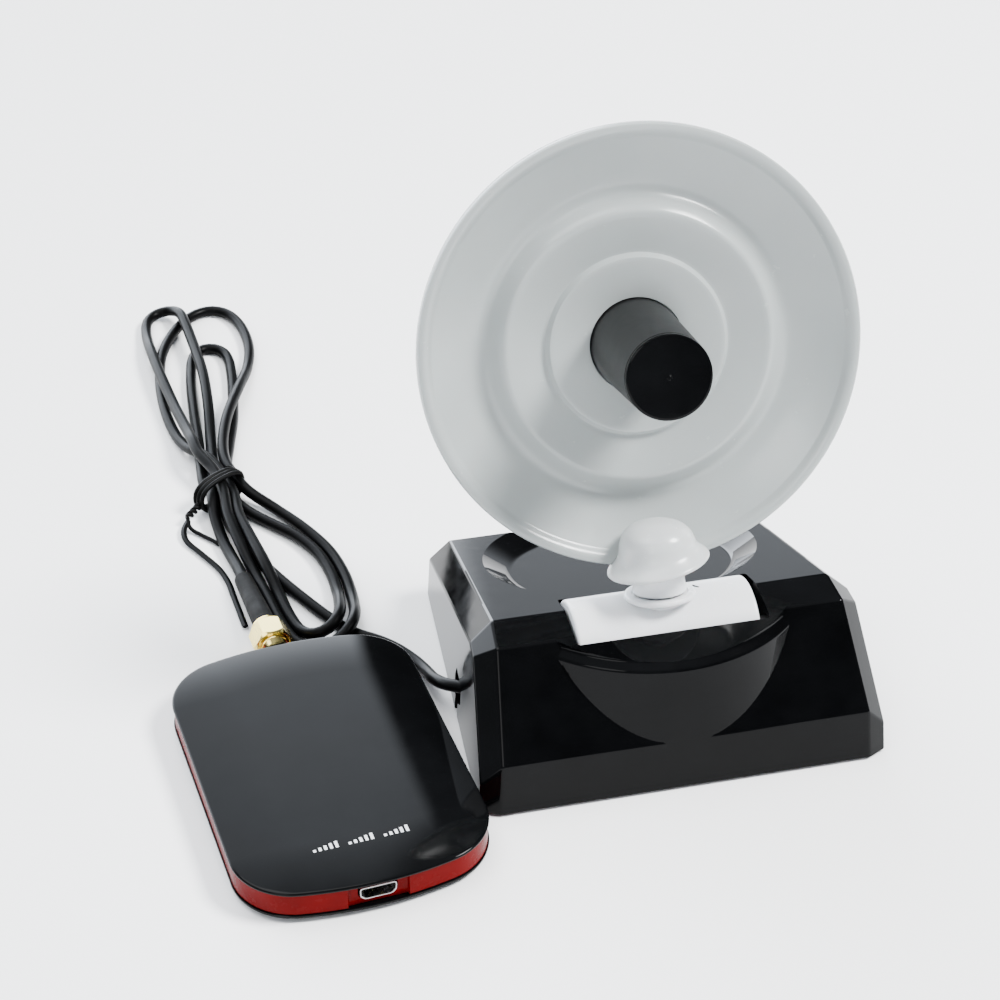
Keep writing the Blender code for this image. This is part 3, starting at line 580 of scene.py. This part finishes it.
def add_tie(mats):
    """Wire tie wound aslant round the waist of the hank, knotted, with a small loop and a flat tail."""
    mat = mats["tie_wire"]
    wire_r = 0.5 * MM
    turn = Matrix.Rotation(math.radians(36), 4, "Z")
    count, per_turn = 50, 16
    half_width, half_height, middle = 7.0 * MM, 3.7 * MM, 4.0 * MM
    points = []
    for i in range(count):
        angle = 2 * math.pi * i / per_turn + 0.6
        x = squared(math.cos(angle), 0.8) * half_width
        z = squared(math.sin(angle), 0.8) * half_height + middle
        across = (i / (count - 1) - 0.5) * 3.6 * MM + math.sin(angle) * 0.5 * MM
        points.append(TIE_AT + turn @ Vector((x, across, max(z, 0.6 * MM))))
    band = add_wire("tie_band", points, 0.58 * MM, mat, "twist_tie")

    twist_start = Vector((-86.4, 83.4, 3.4)) * MM
    twist_run = Vector((-3.6, -3.2, -1.2)) * MM
    twist_r = 0.55
    knot = []
    for strand in range(2):
        helix = []
        for i in range(12):
            angle = i * 1.05 + math.pi * strand
            centre = twist_start + twist_run * (i / 11)
            helix.append(centre + Vector((math.cos(angle) * twist_r, 0.0, math.sin(angle) * twist_r)) * MM)
        knot.append(add_wire(f"tie_twist_{strand + 1}", helix, wire_r, mat))

    end = ((-89.9, 80.3, 2.0), (-89.7, 77.6, 1.1), (-87.5, 74.6, 0.7), (-85.4, 71.8, 0.8),
           (-83.8, 69.6, 0.7))
    free_end = add_wire("tie_free_end", [Vector(p) * MM for p in end], wire_r, mat)
    tail = ((-89.9, 79.6, 1.6), (-91.3, 76.6, 1.2), (-91.2, 72.4, 0.9), (-88.6, 67.0, 0.8),
            (-85.3, 60.0, 0.8), (-83.8, 54.0, 0.8), (-83.2, 47.0, 0.8), (-82.3, 36.0, 0.8))
    ribbon = add_ribbon("tie_tail", tail, 0.75 * MM, 0.25 * MM, mat, "twist_tie_tail")
    return [band, ribbon, free_end] + knot


# ---------------------------------------------------------------- connector

def add_connector(mats):
    """Hex coupling nut, round collar, moulded sleeve and the threaded jack."""
    gold = mats["gold_brass"]
    low, high = 42.9 * MM, 48.7 * MM
    half_flats, face_r, bore_r = 4.0 * MM, 3.85 * MM, 3.25 * MM
    chamfer = 0.75 * MM
    corner = half_flats / math.cos(math.pi / 6)
    cone_r = corner + 0.05 * MM
    hexagon = [(corner * math.cos(math.pi * k / 3), corner * math.sin(math.pi * k / 3)) for k in range(6)]
    nut = make("coupling_nut", prism(hexagon, low, high), gold, JACK)
    cone = turned([(0, low), (face_r, low), (cone_r, low + chamfer), (cone_r, high - chamfer),
                   (face_r, high), (0, high)], 96)
    cone_tool = make("nut_cone", cone, None, JACK)
    bore_tool = make("nut_bore", rod(bore_r, low - 1 * MM, high + 1 * MM), None, JACK)
    boolean(nut, cone_tool, "INTERSECT")
    boolean(nut, bore_tool, "DIFFERENCE")
    bake(nut, (cone_tool, bore_tool), 20)
    settle(nut, "coupling_nut", "gold_brass", "sma_nut")

    collar = [(0, 46.3), (2.7, 46.3), (2.7, 49.0), (3.55, 49.0), (3.7, 49.2), (3.7, 49.55), (3.45, 49.7),
              (3.45, 49.9), (3.3, 50.15), (0, 50.2)]
    plug = make("plug_collar", turned(rounded(in_metres(collar), 0.1 * MM)), gold, JACK)
    settle(plug, "base", "gold_brass", "sma_plug_body")

    root_r, crest_r, pitch, start = 2.86, 3.1, 0.41, 40.3
    thread = [(0, 32.5), (2.0, 32.5), (2.0, 39.9), (root_r, 40.1)]
    for i in range(14):
        thread.append((crest_r, start + i * pitch))
        thread.append((root_r, start + i * pitch + 0.2))
    thread += [(2.3, 46.0), (2.3, 43.5), (0, 43.5)]
    jack = make("threaded_jack", turned(in_metres(thread), 64), gold, JACK)
    settle(jack, "base", "gold_brass", "sma_jack")

    length, sink = 22.0, 1.9
    droop = math.asin(sink / length)
    boot_frame = place((0, SLEEVE_START, SMA_Z), (math.radians(-90) - droop, 0, 0), ADAPTER)
    sleeve = [(2.45, 0.0), (2.55, 0.3), (2.55, 3.5), (2.5, 6.0), (2.42, 9.0), (2.3, 12.0), (2.25, 15.0),
              (2.2, 18.0), (2.12, 20.6), (1.95, 21.6), (1.55, length)]
    rings = smooth_line(in_metres(sleeve), 5)
    boot_bm = turned([(0, 0)] + rings + [(0, length * MM)], 48)
    boot = make("plug_sleeve", boot_bm, mats["black_rubber"], boot_frame)
    settle(boot, "base", "black_rubber", "cord_boot")
    return [nut, plug, boot]


# ---------------------------------------------------------------- base

def facet(a, b, c):
    """The plane through three points in mm: one point in metres, and the normal away from the middle."""
    a, b, c = (Vector(p) * MM for p in (a, b, c))
    normal = (b - a).cross(c - a).normalized()
    if normal.dot(a - Vector((0, 0, 0.01))) < 0:
        normal.negate()
    return a, normal


def base_planes(drum=False):
    """The base's facets, as (point, outward normal) pairs; the drum is cut by fewer of them."""
    ridge = (36.55, RIDGE_Y, RIDGE_Z)
    shoulder = (41.41, -15.83, 28.09)
    strip_end = (37.21, STRIP_Y, STRIP_Z)
    cheek = (41.63, -20.6, 27.08)
    crease = (39.46, CREASE_Y, CREASE_Z)
    foot = (40.23, -39.15, 0.0)
    side_crease = (43.5, -35.91, CREASE_Z)
    planes = [
        facet((0, REAR_Y, REAR_TOP_Z), ridge, (0, RIDGE_Y, RIDGE_Z)),
        facet((0, REAR_Y, 0), (1, REAR_Y, 0), (0, REAR_Y, 1)),
        facet((0, CREASE_Y, CREASE_Z), crease, foot),
        facet((0, STRIP_Y, STRIP_Z), ridge, strip_end),
    ]
    sides = [
        facet(ridge, shoulder, (34.02, REAR_Y, REAR_TOP_Z)),
        facet((41.39, -15.83, 28.09), (44.2, -35.15, 0.0), (39.36, REAR_Y, 0.0)),
        facet(crease, side_crease, foot),
    ]
    if not drum:
        planes.append(facet((0, STRIP_Y, STRIP_Z), strip_end, crease))
        sides.append(facet(ridge, shoulder, strip_end))
        sides.append(facet(strip_end, cheek, crease))
    for point, normal in sides:
        planes.append((point, normal))
        planes.append((Vector((-point.x, point.y, point.z)), Vector((-normal.x, normal.y, normal.z))))
    return planes


def trim(bm, planes, inset):
    """Cuts the form off at planes moved inwards, and caps each cut."""
    for point, normal in planes:
        geom = bm.verts[:] + bm.edges[:] + bm.faces[:]
        bmesh.ops.bisect_plane(bm, geom=geom, plane_co=point - normal * inset, plane_no=normal,
                               clear_outer=True)
        rim = [e for e in bm.edges if e.is_boundary]
        if rim:
            bmesh.ops.contextual_create(bm, geom=rim)
    return bm


def drum_form(inset, low, segments=160):
    """The round form in the front wall."""
    profile = [(0, low), (40.2 * MM, low), (40.2 * MM, CREASE_Z * MM), (37.0 * MM, 28.3 * MM),
               (35.2 * MM, 29.8 * MM), (35.2 * MM, 40 * MM), (0, 40 * MM)]
    profile = [(max(r - inset, 0), h) for r, h in profile]
    drum = turned(rounded(profile, 0.5 * MM, steps=3), segments)
    bmesh.ops.translate(drum, vec=(0, 2.0 * MM, 0), verts=drum.verts)
    return trim(drum, base_planes(drum=True), inset)


def hollow_form(grow):
    """The round hollow in the sloping top, and its place."""
    slope = math.atan2(RIDGE_Z - REAR_TOP_Z, REAR_Y - RIDGE_Y)
    top_z = (RIDGE_Z - (HOLLOW_Y - RIDGE_Y) * math.tan(slope)) * MM
    depth, floor_r, rim_r = 3.5, 25.0, 30.5
    rise = 12.0
    flare = (rim_r - floor_r) / depth
    profile = in_metres([(0, -depth), (floor_r, -depth), (rim_r, 0.0), (rim_r + flare * rise, rise),
                         (0, rise)])
    profile[1] = (profile[1][0] + grow, profile[1][1])
    profile[2] = (profile[2][0] + grow, profile[2][1])
    bm = turned(rounded(profile, 0.8 * MM, steps=4), 160)
    bmesh.ops.translate(bm, vec=(0, 0, -grow), verts=bm.verts)
    return bm, place((0, HOLLOW_Y * MM, top_z), (-slope, 0, 0))


def add_cavity():
    """The inside of the shell, which follows its outer forms at one wall's thickness."""
    wall, drum_wall, trough_wall = 2.2 * MM, 2.26 * MM, 2.7 * MM
    inner = trim(box((-0.05, 0.05), (-0.05, 0.05), (-0.01, 0.05)), base_planes(), wall)
    cavity = make("cavity", inner, None)
    drum = make("inner_drum", drum_form(drum_wall, -0.01, 96), None)
    trough_bm = rod(BAR_R + trough_wall, -23 * MM, 23 * MM)
    trough = make("trough_wall", trough_bm, None, place(BAR_AXIS, LAY_X))
    hollow_bm, lay = hollow_form(wall)
    hollow = make("hollow_wall", hollow_bm, None, lay)
    boolean(cavity, drum, "UNION")
    boolean(cavity, trough, "DIFFERENCE")
    boolean(cavity, hollow, "DIFFERENCE")
    bake(cavity, (drum, trough, hollow))
    cavity.modifiers.clear()
    return cavity


def add_base(mats):
    """The black body with its drum, cut by the hollow, the trough, the slot and the pin holes."""
    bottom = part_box("base_shell")[0].z
    block = box((-0.05, 0.05), (-0.05, 0.05), (bottom, 0.05))
    shell = make("base_body", trim(block, base_planes(), 0.0), mats["gloss_black"])
    soften(shell, 0.45 * MM, 3, 6)
    drum = make("drum", drum_form(0.02 * MM, bottom), None)
    boolean(shell, drum, "UNION")

    hollow_bm, lay = hollow_form(0.0)
    trough_r, trough_half = BAR_R + 0.5 * MM, 20.8 * MM
    trough = turned(rounded([(0, -trough_half), (trough_r, -trough_half), (trough_r, trough_half),
                             (0, trough_half)], 0.6 * MM), 128)
    cuts = [make("hollow", hollow_bm, None, lay),
            make("trough", trough, None, place(BAR_AXIS, LAY_X)),
            add_cavity()]
    slot = ((-6.2, -1.0), (-3.0, -1.0), (-3.0, 4.2), (-1.7, 5.6), (-1.7, 9.2), (-3.0, 11.8),
            (-9.3, 10.9), (-9.3, 6.4), (-6.2, 4.4))
    slot_bm = prism(rounded(in_metres(slot), 0.5 * MM, True), -46 * MM, -38 * MM)
    cuts.append(make("slot", slot_bm, None, place((0, 0, 0), (math.radians(90), 0, math.radians(90)))))
    for side, x in (("left", -24 * MM), ("right", 24 * MM)):
        at = BAR_AXIS + Vector((x, 0, 0))
        cuts.append(make(f"pin_hole_{side}", rod(1.9 * MM, -6 * MM, 6 * MM), None, place(at, LAY_X)))
    for cut in cuts:
        boolean(shell, cut, "DIFFERENCE")
    bake(shell, [drum] + cuts, 28)
    settle(shell, "base", "gloss_black", "base_shell")
    for node in ("base_screw_1", "base_screw_2", "base_screw_3", "base_screw_4"):
        low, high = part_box(node)
        add_screw_head(node, (low + high) / 2, low.z, mats)


def add_screw_head(node, centre, bottom, mats):
    """Pan head with a cross recess, and its shank."""
    face = 0.95
    profile = rounded(in_metres([(0, face), (2.4, face), (2.6, 1.15), (2.6, 1.7), (1.1, 1.75), (1.1, 9),
                                 (0, 9.8)]), 0.15 * MM)
    at = place((centre.x, centre.y, bottom - face * MM), (0, 0, 0.4))
    screw = make(f"{node}_detail", turned(profile, 40), mats["plated_steel"], at)
    tools = []
    for k in range(2):
        bar = box((-1.5 * MM, 1.5 * MM), (-0.3 * MM, 0.3 * MM), (0.5 * MM, 1.4 * MM))
        spin = at @ Matrix.Rotation(math.pi / 2 * k, 4, "Z")
        tools.append(make(f"{node}_cross_{k}", bar, None, spin))
        boolean(screw, tools[-1], "DIFFERENCE")
    bake(screw, tools)
    settle(screw, "base", "plated_steel", node)


# ---------------------------------------------------------------- hinge and head

def smooth_corners(points):
    """A profile given in mm, in metres and with its corners eased."""
    return rounded(in_metres(points), 0.35 * MM)


def add_hinge(mats):
    """The white bar with its round collar, the bores for the pins and neck, and a black strip that stands in
    for the shade inside a small slit on the bar.
    """
    half = (BAR_RIGHT - BAR_LEFT) / 2
    middle = BAR_AXIS + Vector(((BAR_LEFT + BAR_RIGHT) / 2, 0, 0))
    barrel = turned(rounded([(0, -half), (BAR_R, -half), (BAR_R, half), (0, half)], 0.7 * MM), 160)
    bar = make("hinge_barrel", barrel, mats["white_plastic"], place(middle, LAY_X))
    collar = [(0, -6.0), (3.7, -6.0), (4.3, -2.9), (5.6, -1.9), (7.1, -1.3), (7.5, -0.95), (7.55, -0.5),
              (7.4, -0.1), (7.0, 0.0), (5.95, 0.0), (5.85, -0.25), (0, -0.25)]
    tools = [make("collar", turned(smooth_corners(collar), 128), None, SWIVEL)]
    boolean(bar, tools[-1], "UNION")
    tools.append(make("bore", rod(2.69 * MM, -7.5 * MM, 1 * MM), None, SWIVEL))
    boolean(bar, tools[-1], "DIFFERENCE")
    for side, x in (("left", BAR_LEFT), ("right", BAR_RIGHT)):
        at = BAR_AXIS + Vector((x, 0, 0))
        tools.append(make(f"bar_bore_{side}", rod(1.59 * MM, -5 * MM, 5 * MM), None, place(at, LAY_X)))
        boolean(bar, tools[-1], "DIFFERENCE")
    bake(bar, tools, 35)
    settle(bar, "hinge", "white_plastic", "hinge_bar")

    # Painted shade: a thin black strip on the bar where a small slit is dark with shade; the slit itself is
    # not cut.
    tick_at = BAR_AXIS + Vector((7.4, 2.0, 10.25)) * MM
    tick_turn = (math.radians(-11), 0, math.radians(-40))
    tick = make("slit_shade_strip", box((-0.8 * MM, 0.8 * MM), (-0.2 * MM, 0.2 * MM), (-0.4 * MM, 0.08 * MM)),
                mats["matt_black"], place(tick_at, tick_turn))
    soften(tick, 0.06 * MM)
    settle(tick, "hinge", "matt_black")


def hat_profile():
    """Bell of the cap: dome, long flare, thin lip and hollow underside."""
    outer = smooth_line([(0.0, 15.5), (2.9, 15.2), (5.4, 14.3), (7.0, 12.9), (7.75, 11.4), (8.1, 10.1),
                         (8.6, 9.0), (9.5, 8.0), (10.3, 7.3), (10.55, 7.05)], 6)
    lip = [(10.7, 6.8), (10.7, 6.55), (10.55, 6.38), (10.2, 6.3)]
    under = [(9.7, 6.4), (8.5, 6.7), (6.4, 6.8), (6.1, 6.3), (0.0, 6.3)]
    return [(max(r, 0.0) * MM, h * MM) for r, h in outer + lip + under]


def lean_brim(bm):
    """Makes the brim hang lower on the dish's left side than on its right, and fades this out upwards."""
    fade_top, fade_depth = 12.5 * MM, 4.5 * MM
    for vert in bm.verts:
        low = min(max((fade_top - vert.co.z) / fade_depth, 0.0), 1.0)
        drop = 0.5 * MM - 0.15 * vert.co.x
        vert.co.z -= drop * low * low * (3 - 2 * low)
    return bm


def add_head(mats):
    """The small cap and the neck it turns on."""
    hat = make("hat_cap", lean_brim(turned(hat_profile(), 128)), mats["cap_plastic"], SWIVEL, 40)
    settle(hat, "head", "white_plastic", "head_cap")
    neck = [(0, -7.0), (2.6, -7.0), (2.6, 1.1), (5.12, 1.1), (5.12, 0.22), (5.55, 0.16), (5.72, 0.5),
            (5.6, 1.1), (5.42, 1.9), (5.35, 4.4), (5.5, 5.6), (5.5, 6.0), (0, 6.0)]
    rings = rounded(in_metres(neck), 0.18 * MM)
    post = make("neck_post", turned(rings, 96), mats["white_plastic"], SWIVEL)
    settle(post, "head", "white_plastic", "swivel_neck")


def dish_front():
    """Front face of the dish from its middle hole to the rim, in mm from the rim plane."""
    steps = [(9.9, -5.25), (13.0, -4.75), (17.2, -4.3), (17.9, -4.2), (18.35, -4.3), (18.75, -4.85),
             (19.2, -5.4), (19.9, -5.4), (23.0, -4.35), (26.4, -3.3), (27.3, -3.06), (27.9, -3.05),
             (28.5, -3.4), (29.3, -4.2), (30.2, -5.15), (31.0, -5.9), (31.7, -6.3)]
    bowl = []
    for i in range(15):
        reach = i / 14
        bowl.append((32.5 + 10.4 * reach, -6.45 + 4.75 * reach ** 1.4))
    rim = [(43.25, -1.5), (43.6, -0.95), (44.1, -0.4), (44.7, -0.08), (45.3, 0.0), (45.85, -0.15),
           (46.12, -0.55), (46.2, -1.1), (46.2, -2.4), (45.95, -2.9), (45.4, -3.05)]
    return steps + bowl, rim


def add_dish(mats):
    """The dish with room for the cap and neck, the black tube on it, its cap and the hub behind."""
    face, rim = dish_front()
    thickness = 1.6
    back = [(r, h - thickness) for r, h in reversed(face)]
    dish = make("dish_shell", turned(in_metres(face + rim + back), 192, True), mats["pale_plastic"], DISH)
    room = [(r + 0.12 * MM if r > 1e-6 else 0, h) for r, h in hat_profile()]
    tools = [make("hat_room", lean_brim(turned(room, 96)), None, SWIVEL),
             make("neck_room", rod(5.8 * MM, 0, 7.2 * MM), None, SWIVEL),
             make("brim_room", lean_brim(rod(10.8 * MM, 2.5 * MM, 6.5 * MM, 96)), None, SWIVEL)]
    for tool in tools:
        boolean(dish, tool, "DIFFERENCE")
    bake(dish, tools, 38)
    settle(dish, "head", "pale_plastic", "dish_reflector")

    tube = [(9.6, -7.0), (9.62, -5.2), (9.55, -4.6), (8.75, 22.9), (8.7, 23.3), (8.5, 23.4), (7.3, 23.4),
            (7.1, 23.2), (7.7, -7.0)]
    barrel = make("feed_barrel", turned(in_metres(tube), 128, True), mats["feed_black"], DISH)
    settle(barrel, "head", "matt_black", "feed_tube")
    cap = [(0, 23.7), (8.45, 23.7), (8.6, 23.8), (8.7, 24.0), (8.7, 24.4), (8.6, 24.7), (8.35, 24.86),
           (8.1, 24.88), (1.1, 24.84), (0.5, 24.84), (0.42, 24.9), (0, 24.9)]
    lens = make("feed_lens", turned(in_metres(cap), 128), mats["gloss_black"], DISH)
    settle(lens, "head", "gloss_black", "feed_cap")
    hub = [(0, -11.7), (12.9, -11.7), (13.6, -11.4), (14.0, -10.7), (14.0, -7.5), (13.8, -7.3),
           (6.6, -7.3), (6.4, -4.8), (0, -4.8)]
    boss = make("back_boss", turned(smooth_corners(hub), 96), mats["pale_plastic"], DISH)
    settle(boss, "head", "pale_plastic", "dish_back_hub")


# ---------------------------------------------------------------- adapter

def adapter_outline(inset, steps=16):
    """Rounded oblong with bowed ends, moved inwards by the inset."""
    half_w = ADAPTER_HALF_W - inset
    half_l = ADAPTER_HALF_L - inset
    corner = ADAPTER_CORNER - inset
    join_v = half_w - corner + corner * math.sin(ADAPTER_BOW)
    bow = join_v * math.tan(ADAPTER_BOW) / 2
    centre_u = half_l - bow - corner * math.cos(ADAPTER_BOW)
    quarter = []
    for i in range(steps + 1):
        angle = (math.pi / 2 - ADAPTER_BOW) * i / steps
        quarter.append((half_w - corner + corner * math.cos(angle), centre_u + corner * math.sin(angle)))
    bow_steps = 8
    for i in range(1, bow_steps):
        share = 1 - i / bow_steps
        quarter.append((join_v * share, half_l - bow * share ** 2))
    left = [(-v, u) for v, u in reversed(quarter)]
    rear = quarter + [(0, half_l)] + left
    return rear + [(-v, -u) for v, u in rear]


def stack(levels):
    """Closed plate whose outline is inset by a different amount at each height."""
    bm = bmesh.new()
    rings = []
    for inset, height in levels:
        rings.append([bm.verts.new((x, y, height)) for x, y in adapter_outline(inset)])
    for low, high in zip(rings, rings[1:]):
        count = len(low)
        for i in range(count):
            bm.faces.new((low[i], low[(i + 1) % count], high[(i + 1) % count], high[i]))
    bm.faces.new(rings[0])
    bm.faces.new(list(reversed(rings[-1])))
    return bm


def domed_lid(low, high):
    """Top plate: level rim, rounded edge, and a face that swells very slightly to the middle."""
    edge = 0.6 * MM
    sag = 0.75 * MM
    squash = 0.7
    levels = [(0.22 * MM, low), (0.05 * MM, low + 0.08 * MM), (0.0, low + 0.2 * MM),
              (0.0, high - sag - edge * squash)]
    edge_steps, face_steps = 5, 20
    for k in range(1, edge_steps + 1):
        angle = math.radians(80) * k / edge_steps
        levels.append((edge * (1 - math.cos(angle)), high - sag - edge * (1 - math.sin(angle)) * squash))
    rim = levels[-1][0]
    for k in range(1, face_steps + 1):
        share = k / face_steps
        inset = rim + share * (ADAPTER_CORNER - rim - 0.2 * MM)
        levels.append((inset, high - sag * (1 - share) ** 2.2 - 0.008 * MM * (1 - share)))
    return stack(levels)


def add_adapter(mats):
    """Two black covers, then the red wall, the socket and the print between and on them."""
    black = mats["gloss_black"]
    lid_low, lid_high = (corner.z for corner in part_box("adapter_top_cover"))
    lid = make("lid_top", domed_lid(lid_low, lid_high), black, ADAPTER, 30)
    bake(lid, (), 30)
    settle(lid, "base", "gloss_black", "adapter_top_cover")

    tray_low, tray_high = (corner.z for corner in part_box("adapter_bottom_cover"))
    tray_bm = stack([(0.6 * MM, tray_low), (0.25 * MM, tray_low + 0.08 * MM),
                     (0.06 * MM, tray_low + 0.25 * MM), (0.0, tray_low + 0.5 * MM),
                     (0.0, tray_high - 0.1 * MM), (0.1 * MM, tray_high)])
    tray = make("tray_bottom", tray_bm, black, ADAPTER, 30)
    bake(tray, (), 30)
    settle(tray, "base", "gloss_black", "adapter_bottom_cover")

    front = -ADAPTER_HALF_L
    add_band(mats["red_band"], tray_high, lid_low, front)
    add_port(mats, front)
    add_print(mats, lid_high)


def add_band(mat, floor, ceiling, front):
    """Red wall between the covers, with a notch round the socket and room for the socket and the jack."""
    seam = 0.04 * MM
    low, high = floor + seam, ceiling - seam
    clear = 1 * MM
    wall = 2.0 * MM
    shelf = 0.15 * MM
    band = make("band_red", stack([(0.5 * MM, low), (0.3 * MM, low + shelf), (0.3 * MM, high - shelf),
                                   (0.5 * MM, high)]), mat, ADAPTER)
    notch_depth = 1.35 * MM
    notch = prism(rounded([(-6.9 * MM, front - clear), (6.3 * MM, front - clear),
                           (5.9 * MM, front + notch_depth), (-6.4 * MM, front + notch_depth)],
                          0.35 * MM, True), low - clear, high + clear)
    hole = prism(rounded(port_outline(0.3 * MM), 0.5 * MM, True), -front - 4 * MM, -front + clear)
    tools = [make("core", stack([(wall, low - clear), (wall, high + clear)]), None, ADAPTER),
             make("notch", notch, None, ADAPTER),
             make("port_hole", hole, None, PORT),
             make("jack_room", rod(3.4 * MM, 30 * MM, 44 * MM), None, JACK)]
    for tool in tools:
        boolean(band, tool, "DIFFERENCE")
    bake(band, tools, 30)
    settle(band, "base", "red_band", "adapter_band")


def port_outline(grow):
    """Mouth of the socket: a flat top and two cut lower corners, grown outwards by the given amount."""
    half_x = 3.75 * MM + grow
    half_z = 1.45 * MM + grow
    cut = 0.9 * MM
    return [(-half_x + cut, -half_z), (half_x - cut, -half_z), (half_x, -half_z + cut), (half_x, half_z),
            (-half_x, half_z), (-half_x, -half_z + cut)]


def add_port(mats, front):
    """Steel shell, tongue and five contacts; the port's frame points out of the adapter."""
    outer = rounded(port_outline(0.0), 0.55 * MM, True)
    shell = make("usb_shell", prism(outer, -front - 6.2 * MM, -front - 0.75 * MM), mats["plated_steel"], PORT)
    mouth = rounded(port_outline(-0.2 * MM), 0.5 * MM, True)
    bore = make("usb_bore", prism(mouth, -front - 5.8 * MM, -front + 1 * MM), None, PORT)
    boolean(shell, bore, "DIFFERENCE")
    bake(shell, (bore,))
    settle(shell, "base", "plated_steel", "micro_usb_shell")
    blade = box((-2.0 * MM, 2.0 * MM), (0.0, 0.6 * MM), (-front - 5.3 * MM, -front - 1.7 * MM))
    tongue = make("usb_tongue", blade, mats["matt_black"], PORT)
    soften(tongue, 0.12 * MM)
    settle(tongue, "base", "matt_black", "micro_usb_tongue")
    pitch, half_pad = 0.65, 0.14 * MM
    pad_depth = (-front - 5.0 * MM, -front - 2.1 * MM)
    for i in range(5):
        x = (i - 2) * pitch * MM
        pad = box((x - half_pad, x + half_pad), (-0.05 * MM, 0.02 * MM), pad_depth)
        contact = make(f"usb_contact_{i + 1}", pad, mats["gold_brass"], PORT)
        soften(contact, 0.02 * MM)
        settle(contact, "base", "gold_brass")


def add_print(mats, top):
    """Three printed groups of plain rising bars, where the lettering would be."""
    bm = bmesh.new()
    heights = (0.7, 1.0, 1.3, 1.6, 1.9)
    left = -10.4 * MM
    base_u = -28.5 * MM
    width = 0.62 * MM
    group_pitch, bar_pitch = 7.3, 1.15
    for group in range(3):
        for i, tall in enumerate(heights):
            x = left + (group * group_pitch + i * bar_pitch) * MM
            bar = rounded([(x, base_u), (x + width, base_u), (x + width, base_u + tall * MM),
                           (x, base_u + tall * MM)], 0.12 * MM, True, 3)
            merge(bm, prism(bar, top - 0.01 * MM, top + 0.012 * MM))
    mark = make("printed_bars", bm, mats["print"], ADAPTER)
    settle(mark, "base", "gloss_black")


# ---------------------------------------------------------------- carried-over pieces

def dress_nodes(mats):
    """Gives each CAD piece its slot's material, which shows on those that no new piece replaces."""
    slots = {row["node"]: row["material_slot"] for row in frame["record"]["subparts"]}
    for node, obj in frame["nodes"].items():
        obj.data.materials.clear()
        obj.data.materials.append(mats[slots[node]])


def main():
    add_camera()
    mats = make_materials()
    lead, length = add_lead(mats["cable_jacket"])
    tie = add_tie(mats)
    plug = add_connector(mats)
    add_world()
    add_floor()
    add_light("key", (1.05, -0.3, 1.45), (0, 0, 0.05), 0.6, 92)
    add_light("overhead", (-0.5, 0.35, 1.8), (0, 0, 0.02), 1.6, 36)
    add_light("front", (-1.1, -1.5, 1.3), (0, 0, 0.06), 0.9, 10)
    add_base(mats)
    add_hinge(mats)
    add_head(mats)
    add_dish(mats)
    add_adapter(mats)
    dress_nodes(mats)


main()
